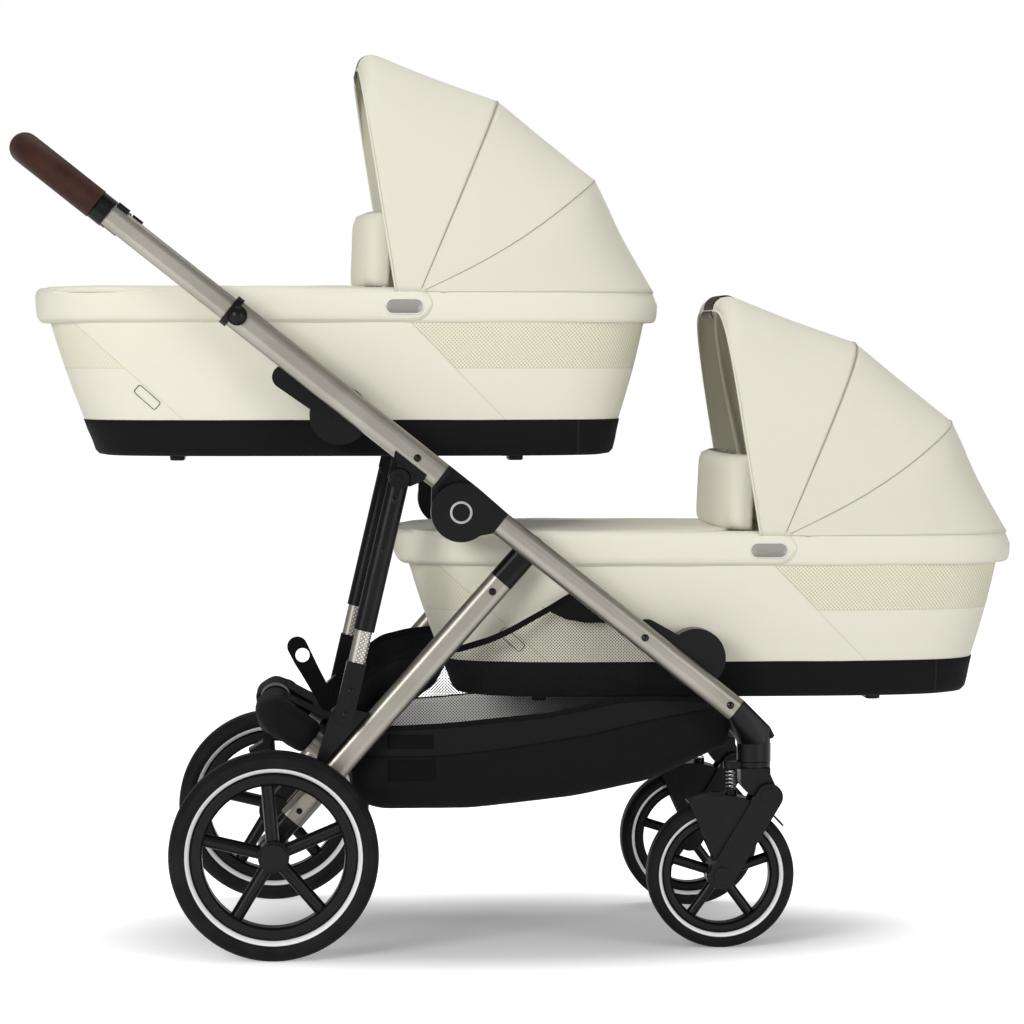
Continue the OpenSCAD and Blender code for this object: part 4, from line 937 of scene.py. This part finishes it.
# Foot in X, crown in X and Z, and sag
HOOD_ROWS = np.array([(61, 12.25, 529.05, 0), (64, 36.45, 548.8, 0), (78, 117, 518, 0.5), (94, 204, 487, 0.5),
                      (95, 272, 432, 6), (96, 338.5, 379, 12), (108, 376, 306, 7), (124, 424, 224, 0)], float)
FRONT, NOSE_END, MID, REAR, HEAD = 0, 1, 3, 5, 7
HOOD_CORNERS = (FRONT, NOSE_END, MID, REAR, HEAD)
HOOD_BASE, HOOD_HALF, HOOD_SQUARE = 224.0, 208, 5.5
HEAD_X = 431
NOSE, NOSE_R, NOSE_FROM, NOSE_SWEEP = (30, 532), 18, 189.4, 120.4
HOOD_PIVOT = (95, 243)


def hood_row(k):
    """Foot, crown and sag of the hood at place k along it, smooth between seams."""
    if k < NOSE_END:
        turn = math.radians(NOSE_FROM - NOSE_SWEEP * k)
        foot = HOOD_ROWS[0, 0] + (HOOD_ROWS[1, 0] - HOOD_ROWS[0, 0]) * k
        return np.array([foot, NOSE[0] + NOSE_R * math.cos(turn), NOSE[1] + NOSE_R * math.sin(turn), 0.0])
    i = min(int(k), HEAD - 1)
    t = k - i
    a, b = HOOD_ROWS[i], HOOD_ROWS[i + 1]

    def slope(j):
        return b - a if j in HOOD_CORNERS else (HOOD_ROWS[j + 1] - HOOD_ROWS[j - 1]) / 2

    h00, h10 = 2 * t ** 3 - 3 * t ** 2 + 1, t ** 3 - 2 * t ** 2 + t
    h01, h11 = -2 * t ** 3 + 3 * t ** 2, t ** 3 - t ** 2
    return h00 * a + h10 * slope(i) + h01 * b + h11 * slope(i + 1)


def evenly(y, up, tall, count):
    """A section of the hood with its points at even steps."""
    run = run_of(y * HOOD_HALF, up * tall)
    return at_runs(np.linspace(0, run[-1], count), run, y, up).T


def head_section(tall, count):
    """Section that lies on the rim's outline round the head end."""
    half = 361
    foot = HOOD_ROWS[HEAD, 0]
    run = np.concatenate([np.linspace(0, 1, half) ** 0.5, np.linspace(1, 0, half)[1:] ** 0.5])
    share = np.minimum(1, (foot + (HEAD_X - foot) * run) / HEAD_X)
    wide = (1 - share ** LOOP_SQUARE) ** (1 / LOOP_SQUARE) * np.where(np.arange(len(run)) < half, -1, 1)
    return evenly(wide, run, tall, count)


def hood_arch(k, count, grow=0.0):
    """Points of one arch of the hood from the right foot to the left one."""
    foot, cx, cz, sag = hood_row(k)
    tall = math.hypot(cx - foot, cz - HOOD_BASE)
    angle = np.linspace(0, math.pi, 721)
    y = -np.sign(np.cos(angle)) * np.abs(np.cos(angle)) ** (2 / HOOD_SQUARE)
    y, up = evenly(y, np.abs(np.sin(angle)) ** (2 / HOOD_SQUARE), tall, count)
    seated = float(np.clip((k - REAR) / (HEAD - REAR), 0, 1))
    if seated > 0:
        rim_y, rim_up = head_section(tall, count)
        share = seated * seated * (3 - 2 * seated)
        y, up = y + (rim_y - y) * share, up + (rim_up - up) * share
    reach = 1 + grow / tall
    bend = sag * np.sin(math.pi * up) / tall
    x = foot + (cx - foot) * up * reach + (cz - HOOD_BASE) * bend
    z = HOOD_BASE + (cz - HOOD_BASE) * up * reach - (cx - foot) * bend
    return np.stack([x, (HOOD_HALF + grow) * y, z], axis=1)


def hood_sheet(cot, name, k0, k1, rows):
    """Cloth of the hood between two places along it, slack between its seams."""
    thick = 1.8
    grid = np.array([hood_arch(k, 97) for k in np.linspace(k0, k1, rows)])
    up = normals_of(grid, Z, 1)
    uneven = swell(grid.reshape(-1, 3), size=75.0, depth=1.6, seed=4.0).reshape(grid.shape[:2])
    slack = np.sin(np.pi * np.linspace(0, 1, rows))[:, None] * uneven
    grid = grid + up * slack[:, :, None]
    return cot_piece(cot, name, leaf(grid, grid - up * thick), SHADED_HOOD_CREAM, rides=False)


def hood_blend(piece, cot, part):
    """Bakes a hood piece's transform into its mesh."""
    px, pz = HOOD_PIVOT
    origin = COT_ORIGIN[cot]

    def place(run, across):
        return (origin[0] + (px + run * across[0]) / 1000, 0.0, origin[2] + (pz + run * across[1]) / 1000)

    if part == "rear":
        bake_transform(piece)
    else:
        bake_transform(piece)


def cot_hood(cot):
    """Two cloth parts that meet over the middle bow, their seams and the bound front edge."""
    front = hood_sheet(cot, "hood_front", FRONT, MID, 43)
    rear = hood_sheet(cot, "hood_rear", MID, HEAD, 41)
    for piece, part in ((front, "front"), (rear, "rear")):
        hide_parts(f"{cot}_canopy")
        hood_blend(piece, cot, part)
    for name, k in (("mid", MID), ("rear", REAR)):
        shape = hose(hood_arch(k, 161, grow=0.4)[1:-1], 0.5, 8)
        seam = cot_piece(cot, f"hood_seam_{name}", shape, SHADED_SEAM, rides=False)
        hood_blend(seam, cot, "rear")
    hem = cot_piece(cot, "hood_hem", hose(hood_arch(0.02, 121, grow=0.4), 1.7), SHADED_HOOD_CREAM, rides=False)
    hood_blend(hem, cot, "front")


def hood_lip(cot):
    """Thin dark leather strip round the middle of the hood's front edge."""
    half, side, half_thick = 55, 170, 0.6
    wide = np.linspace(-half, half, 41)

    def strip(k, grow, dx=0.0, dz=0.0):
        arch = hood_arch(k, 481, grow)
        x, y, z = arch[np.abs(arch[:, 1]) < side].T
        return np.stack([np.interp(wide, y, x) + dx, wide, np.interp(wide, y, z) + dz], axis=1)

    turned_in = [strip(0.0, 0.0, -0.5, -9), strip(0.0, 1.2, -2.4, -2)]
    grid = np.array(turned_in + [strip(k, 1.7) for k in np.linspace(0.02, 1.1, 15)])
    up = normals_of(grid, Z, 1)
    shape = leaf(grid + up * half_thick, grid - up * half_thick)
    lip = cot_piece(cot, "hood_lip", shape, LEATHER, "leather", rides=False)
    hood_blend(lip, cot, "front")


# Basket: heights in millimetres at places along X from the hinge

BASKET_REAR, BASKET_FRONT, BASKET_HALF = -143.0, 368.0, 203.0
BASKET_LOW = ((-143, 200), (-113, 187), (17, 187), (156, 202), (262, 224), (368, 272))
BASKET_FOLD = ((-143, 261), (-36, 261), (15, 265), (69, 272), (123, 280), (177, 289), (231, 302),
               (272, 311), (326, 321), (368, 328))
BASKET_BAND = ((-143, 299), (-90, 302), (-12, 306), (69, 314), (123, 319), (177, 330), (218, 339),
               (272, 342), (334, 338), (368, 334))
BASKET_TOP = ((-143, 344), (-129, 372), (-96, 396), (-55, 406), (2, 411), (42, 423), (69, 435),
              (96, 450), (123, 465), (147, 480), (165, 488), (195, 462), (232, 434), (272, 404),
              (334, 361), (368, 345))
FRONT_PATCH = ((112, 464), (126, 456), (145, 447), (172, 442), (191, 442), (206, 441))
REAR_PATCH = ((-143, 303), (-112, 308), (-90, 318), (-62, 338), (-33, 360), (-20, 384), (-14, 404))


def along(table, x):
    return float(np.interp(x, *zip(*table)))


def softened(table, x, reach=16.0):
    """The table's height with its corners rounded as cloth rounds them."""
    return float(np.mean([along(table, x + d) for d in np.linspace(-reach, reach, 9)]))


def basket_half(x, z):
    """Half width of the basket's side at a place, with its slow swells and the gathers by the floor."""
    end_reach, end_taper, gather_up, gather_wide = 60.0, 14, 26, 17
    end = min(1.0, (x - BASKET_REAR) / end_reach, (BASKET_FRONT - x) / end_reach)
    low = along(BASKET_LOW, x)
    swells = 1.6 * noise.noise(Vector((x / 60, 0.4, z / 60)))
    gathers = 0.9 * math.sin(x / 5.5 + 3 * noise.noise(Vector((x / 40, 2.1, z / 30))))
    gathers *= math.exp(-((z - low - gather_up) / gather_wide) ** 2)
    return BASKET_HALF - end_taper * (1 - max(0.0, end)) ** 2 + swells + gathers


def basket_section(x, top, count):
    """Half section of the basket at x: from the middle of the floor out and up the left side."""
    low = softened(BASKET_LOW, x)
    r = min(38.0, (top - low) * 0.45)
    w = basket_half(x, low + r)
    line = [(0.0, low + 2), (w * 0.5, low - 2), (w - r, low)]
    for a in np.linspace(0, math.pi / 2, 7)[1:-1]:
        line.append((w - r + r * math.sin(a), low + r - r * math.cos(a)))
    line += [(basket_half(x, z), z) for z in np.linspace(low + r, top, 9)]
    y, z = np.array(line).T
    run = run_of(y, z)
    return at_runs(np.linspace(0, run[-1], count), run, y, z)


def tub_grid():
    """Black lower tub: floor and low sides, sagging in the middle."""
    sag, flat_half = 3.0, 190
    grid = []
    for x in np.linspace(BASKET_REAR, BASKET_FRONT, 76):
        section = basket_section(x, softened(BASKET_BAND, x), 34)
        grid.append([(x, -y, z) for y, z in section[::-1]] + [(x, y, z) for y, z in section[1:]])
    grid = np.array(grid)
    floor = np.clip(1 - np.abs(grid[:, :, 1]) / flat_half, 0, 1)
    uneven = swell(grid.reshape(-1, 3), size=60.0, depth=2.4, seed=1.0).reshape(floor.shape)
    grid[:, :, 2] += floor * (uneven - sag)
    return grid


def basket_end(row, bulge, thick):
    """Rounded end panel that closes the tub from its last section up to a level top edge."""
    top = float(row[0, 2])
    rows = []
    for k in np.linspace(0, 1, 9):
        line = np.array(row)
        line[:, 2] = np.maximum(line[:, 2], line[:, 2] + (top - line[:, 2]) * k)
        line[:, 0] += bulge * math.sin(math.pi * k * 0.9)
        rows.append(line)
    panel = np.array(rows)
    return leaf(panel, panel + np.array([thick, 0, 0]))


def hung(name, shape, finish, body="chassis", slot="black_cloth"):
    """A cloth piece of the basket, with its places counted from the hinge."""
    piece = fitted(name, shape, finish, HINGE, body, slot)
    return piece


def side_panel(ends, low, top, sign, proud, thick, rows, cols):
    """A panel on the basket's side between two heights given for each X."""
    grid = np.zeros((rows, cols, 3))
    for i, x in enumerate(np.linspace(*ends, rows)):
        z0, z1 = low(x), top(x)
        for j, z in enumerate(np.linspace(z0, max(z1, z0 + 0.5), cols)):
            grid[i, j] = (x, sign * (basket_half(x, z) + proud), z)
    return leaf(grid, grid - np.array([0, sign * thick, 0]))


def height_of(table, reach=16.0, up=0.0):
    """A softened table of heights as a function of X, moved up."""
    return lambda x: softened(table, x, reach) + up


def patch_edge(table):
    return lambda x: along(table, x)


def level_at(z):
    return lambda x: z


def basket_side(side, sign):
    """Net, bindings, corner patches, grey band, two bare labels and the lining on one side."""
    ends = (BASKET_REAR + 1, BASKET_FRONT - 1)
    fold, band, top = height_of(BASKET_FOLD), height_of(BASKET_BAND), height_of(BASKET_TOP, 8.0)
    hem = (height_of(BASKET_TOP, 8.0, -8), height_of(BASKET_TOP, 8.0, 1))
    band_edge = (height_of(BASKET_BAND, up=-6), height_of(BASKET_BAND, up=1))
    inside = (height_of(BASKET_LOW, up=30), height_of(BASKET_BAND, up=-1))
    # Name, ends in X, lower and upper edge, how proud, how thick, rows, columns and finish
    panels = (("net", ends, height_of(BASKET_BAND, up=-4), top, -1.5, 0.25, 60, 12, NET),
              ("binding", ends, *hem, 0.4, 2.4, 90, 5, WEBBING),
              ("band", ends, fold, band, 0.8, 0.9, 60, 12, MELANGE),
              ("band_edge", ends, *band_edge, 1.5, 2.6, 60, 5, WEBBING),
              ("front_patch", (112, 205), patch_edge(FRONT_PATCH), top, 0.3, 1.6, 40, 12, BASKET),
              ("rear_patch", (-142, -14), patch_edge(REAR_PATCH), top, 0.3, 1.6, 40, 12, BASKET),
              ("hook_patch", (-97, -35), level_at(272), level_at(291), 1.7, 0.9, 20, 8, WEBBING),
              ("bare_label", (-96, -32), level_at(228.5), level_at(257), 0.9, 0.8, 20, 8, WEBBING),
              ("lining", ends, *inside, -2.2, 0.6, 60, 12, LINING))
    for name, reach, low, high, proud, thick, rows, cols, finish in panels:
        hung(f"basket_{name}_{side}", side_panel(reach, low, high, sign, proud, thick, rows, cols), finish,
             slot="cream_cloth" if name == "lining" else "black_cloth")
    path = [(x, sign * (basket_half(x, along(BASKET_FOLD, x)) + 0.9), fold(x))
            for x in np.linspace(*ends, 90)]
    fitted(f"basket_fold_{side}", hose(path, 0.8, 6), WEBBING, HINGE, "chassis", "black_cloth")


def basket_pieces():
    grid = tub_grid()
    cloth = leaf(grid, grid + normals_of(grid, Z, 1) * 1.4)
    tub = hung("basket_tub", cloth, BASKET)
    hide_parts("basket")
    hung("basket_end_rear", basket_end(grid[0], -4.0, 1.6), BASKET)
    hung("basket_end_front", basket_end(grid[-1], 4.0, -1.6), BASKET)
    for side, sign in SIDES.items():
        basket_side(side, sign)
    rear_roll()
    rear_flap()
    lift_tab()


# Rear bar cover: the bar's crossbar in X from the hinge and in Z, and the way its arms point

BAR_R, BAR_SLOPE = 15.5, math.radians(38)
BAR_LOW, BAR_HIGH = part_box("rear_bar")
BAR_X = (BAR_LOW[0] - HINGE[0]) * 1000 + BAR_R
BAR_Z = BAR_HIGH[2] * 1000 - BAR_R
BAR_ARM = Vector((math.cos(BAR_SLOPE), 0, -math.sin(BAR_SLOPE)))
ROLL_BEND, ROLL_Y, ROLL_R, ROLL_END_R, ROLL_DROP = 45.0, 149.0, 27.0, 19, 8


def roll_path():
    """Run along the bar's arm, Y, radius and drop of the sleeve, along the crossbar and round its bend."""
    path = [(0.0, y, ROLL_R, ROLL_DROP) for y in np.linspace(31, ROLL_Y, 14)]
    path += [(ROLL_BEND - ROLL_BEND * math.cos(a), ROLL_Y + ROLL_BEND * math.sin(a), ROLL_R - 1.5 * a,
              ROLL_DROP - 5.1 * a) for a in np.linspace(0.12, 1.57, 13)]
    path += [(ROLL_BEND + d, ROLL_Y + ROLL_BEND, r, 0.0)
             for d, r in ((4, 24.5), (9, 23.5), (14, 21.5), (17, ROLL_END_R))]
    return path


def roll_rings(path, sign, less):
    """Creased rings of the sleeve along its path, less millimetres inside its outer face."""
    rings = []
    for i, (u, y, r, drop) in enumerate(path):
        back, ahead = path[max(i - 1, 0)], path[min(i + 1, len(path) - 1)]
        run = (BAR_ARM * (ahead[0] - back[0]) + Vector((0, ahead[1] - back[1], 0))).normalized()
        out = run.cross(Vector((-BAR_ARM.z, 0, BAR_ARM.x)))
        up = run.cross(out)
        spot = Vector((BAR_X, 0, BAR_Z - drop)) + BAR_ARM * u + Vector((0, y, 0))
        loose = min(1, (r - ROLL_END_R) / (ROLL_R - ROLL_END_R))
        ring = []
        for a in full_turn(48):
            way = out * math.cos(a) + up * math.sin(a)
            crease = 1.5 * noise.noise((spot + way * r) / 24) + 0.7 * math.sin(5 * a + u * 0.3)
            p = spot + way * (r - less + crease * loose)
            ring.append((p.x, sign * p.y, p.z))
        rings.append(ring)
    return rings


def rear_roll():
    """Loose cloth sleeves round the rear bar's two ends."""
    path = roll_path()
    for side, sign in SIDES.items():
        shape = lofted(roll_rings(path, sign, 0.0) + roll_rings(path, sign, 2.2)[::-1], closed_row=True)
        hung(f"basket_roll_{side}", shape, BASKET, body="rear_frame")


def rear_flap():
    """Flap from the rear bar to the tub, cut out round the tab."""
    rows, cols, half, thick = 26, 61, 158, 1.8
    cut, cut_half, cut_fade = 0.42, 27, 12
    x0, z0 = BAR_X + 16, BAR_Z + 14.5
    x1, z1 = BASKET_REAR - 3, 300
    grid = np.zeros((rows, cols, 3))
    for j, y in enumerate(np.linspace(-half, half, cols)):
        notch = cut * (1 - float(np.clip((abs(y) - cut_half) / cut_fade, 0, 1)))
        for i, t in enumerate(np.linspace(notch, 1, rows)):
            sag = 6 * (1 - (y / half) ** 2) * t + 3 * math.sin(math.pi * t)
            grid[i, j] = (x0 + (x1 - x0) * t, y, z0 + (z1 - z0) * t - sag)
    grid[:, :, 2] += swell(grid.reshape(-1, 3), size=38.0, depth=2.0, seed=9.0).reshape(rows, cols)
    shape = leaf(grid, grid - np.array([0, 0, thick]))
    flap = hung("basket_rear_flap", shape, BASKET, body=None)
    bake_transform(flap)


def lift_tab():
    """Upright webbing tab with a hole, in the middle of the rear flap."""
    foot, hole_at = Vector((-166, 0, 300)), Vector((-210.7, 0, 384))
    foot_half, top_r, hole_r = 11, 14.2, 10
    run = (hole_at - foot).normalized()
    out = Vector((run.z, 0, -run.x))
    top = hole_at + run * 14 - out * 0.8

    def arc(centre, r, angles):
        return [centre + out * (r * math.cos(a)) + run * (r * math.sin(a)) for a in angles]

    ring = arc(top, top_r, np.linspace(0, math.pi, 17))
    ring += [hole_at - out * 15.2 - run * 6, hole_at - out * 13.8 - run * 26, foot - out * foot_half]
    ring += [foot + out * foot_half, hole_at + out * 11.5 - run * 30]
    work = bmesh.new()
    edges = []
    for loop in (ring, arc(hole_at, hole_r, full_turn(28))):
        verts = [work.verts.new((p.x / 1000 + HINGE[0], 0, p.z / 1000)) for p in loop]
        edges += [work.edges.new((a, b)) for a, b in zip(verts, verts[1:] + verts[:1])]
    bmesh.ops.triangle_fill(work, edges=edges, use_beauty=True)
    mesh = bpy.data.meshes.new("basket_tab")
    work.to_mesh(mesh)
    work.free()
    mesh.materials.append(WEBBING)
    tab = bpy.data.objects.new("basket_tab", mesh)
    scene.collection.objects.link(tab)
    thick = tab.modifiers.new("thick", "SOLIDIFY")
    thick.thickness = 0.004
    thick.offset = 0.0
    soft = tab.modifiers.new("soft", "BEVEL")
    soft.width = 0.0009
    soft.segments = 2
    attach(tab, "chassis")


# Handle grip and caster springs

def grip_stitches():
    """Lacing along the inner side of the leather bar."""
    grip_r, turn, spread, pitch, reach = 21, math.radians(-52), 0.13, 9.0, 150
    low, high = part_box("handle_grip")
    bar_x, bar_z = low[0] * 1000 + grip_r, high[2] * 1000 - grip_r
    stitches = []
    for i, y in enumerate(np.arange(-reach, reach + 1, pitch)):
        slant = 1.6 if i % 2 else -1.6
        path = []
        for k in np.linspace(-1, 1, 7):
            a = turn + spread * k
            r = grip_r + 0.25 + 0.5 * (1 - k * k)
            path.append((bar_x + r * math.cos(a), y + slant * k, bar_z + r * math.sin(a)))
        stitches.append(hose(path, 0.55, 6))
    fitted("grip_lacing", joined(stitches), PIPING, (0, 0, 0), "handle", "leather")


def caster_springs():
    """Wire coils in place of the caster springs, each riding its caster."""
    wire, turns, spare = 1.2, 5, 0.8
    whole = 2 * math.pi * turns
    for side in SIDES:
        low, high = (np.array(corner) * 1000 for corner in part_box("caster_spring_" + side))
        x, y = (low[:2] + high[:2]) / 2
        tall = high[2] - low[2]
        r = (high[1] - low[1]) / 2 - wire
        path = [(x + r * math.cos(a), y + r * math.sin(a), low[2] + wire + (tall - 2 * wire) * a / whole)
                for a in np.linspace(0, whole, 24 * turns + 1)]
        coil = fitted("spring_coil_" + side, hose(path, wire, 8), RING, (0, 0, 0), "caster_" + side, "steel")
        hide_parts("caster_spring_" + side)
        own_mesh(coil)


# Stage and light

FLOOR_CORNERS = ((-14, -9, 0), (14, -9, 0), (14, 24, 0), (-14, 24, 0))
FLOOR_GREY = (0.84, 0.84, 0.84, 1.0)
WHITE = (1, 1, 1, 1)
SKY_LIGHT, SKY_SEEN = 0.36, 1.0
# Name, place, aim, size and power
LAMPS = (("key", (-2.6, -3.9, 1.9), (0, 0, 0.6), 1.8, 106.0),
         ("fill", (3.2, -3.8, 1.2), (0, 0, 0.6), 2.0, 62.0),
         ("top", (0.2, 0.9, 4.2), (0, 0, 0.5), 2.6, 58.0))


def pale_floor():
    """White floor that takes a soft shadow near the pram and fades out further off."""
    made = bpy.data.materials.new("pale_floor")
    made.use_nodes = True
    tree = made.node_tree
    tree.nodes.clear()
    rays = add(tree, "LightPath").outputs
    mirrored = calc(tree, "MAXIMUM", rays["Is Glossy Ray"], rays["Is Transmission Ray"])
    seen = calc(tree, "MAXIMUM", rays["Is Camera Ray"], mirrored)
    spot = add(tree, "Mapping", {"Vector": add(tree, "TexCoord").outputs["Object"],
                                 "Location": (0.05, 0.1, 0), "Scale": (1.8, 2.6, 1)})
    far = add(tree, "VectorMath", {0: spot.outputs[0]}, operation="LENGTH").outputs["Value"]
    white = times(tree, seen, ramp(tree, far, 0.55, 1.35, 0.16, 0.8))
    lit = add(tree, "BsdfDiffuse", {"Color": FLOOR_GREY})
    glow = add(tree, "Emission", {"Color": WHITE, "Strength": white})
    both = add(tree, "AddShader", {0: lit.outputs[0], 1: glow.outputs[0]})
    add(tree, "OutputMaterial", {"Surface": both.outputs[0]})
    return made


def studio_floor():
    mesh = bpy.data.meshes.new("floor")
    mesh.from_pydata(FLOOR_CORNERS, [], [(0, 1, 2, 3)])
    mesh.materials.append(pale_floor())
    floor = bpy.data.objects.new("floor", mesh)
    scene.collection.objects.link(floor)


def studio_sky():
    """White to the camera, and dimmer as a light."""
    world = bpy.data.worlds.new("studio")
    scene.world = world
    world.use_nodes = True
    tree = world.node_tree
    tree.nodes.clear()
    rays = add(tree, "LightPath").outputs
    seen = calc(tree, "MAXIMUM", rays["Is Camera Ray"], rays["Is Transmission Ray"])
    strength = plus(tree, SKY_LIGHT, times(tree, seen, SKY_SEEN - SKY_LIGHT))
    sky = add(tree, "Background", {"Color": WHITE, "Strength": strength})
    add(tree, "OutputWorld", {"Surface": sky.outputs[0]})


def studio_lamps():
    for name, where, aim, size, power in LAMPS:
        light = bpy.data.lights.new(name, "AREA")
        light.size = size
        light.energy = power
        lamp = bpy.data.objects.new(name, light)
        lamp.location = where
        lamp.rotation_euler = (Vector(aim) - Vector(where)).to_track_quat("-Z", "Y").to_euler()
        scene.collection.objects.link(lamp)


def carrycot(cot):
    cot_tray(cot)
    cot_wall(cot)
    cot_rim_roll(cot)
    cot_fittings(cot)
    cot_apron(cot)
    skirt_band(cot)
    for side, sign in SIDES.items():
        skirt_stitch(cot, side, sign)
        pill_badge(cot, side, sign)
    wind_flap(cot)
    for side, sign in SIDES.items():
        wall_tag(cot, side, sign)
    cot_hood(cot)
    hood_lip(cot)


pram_camera()
dress_frame()
for cot_name in COTS:
    carrycot(cot_name)
cot_mattresses()
basket_pieces()
grip_stitches()
caster_springs()
studio_floor()
studio_sky()
studio_lamps()
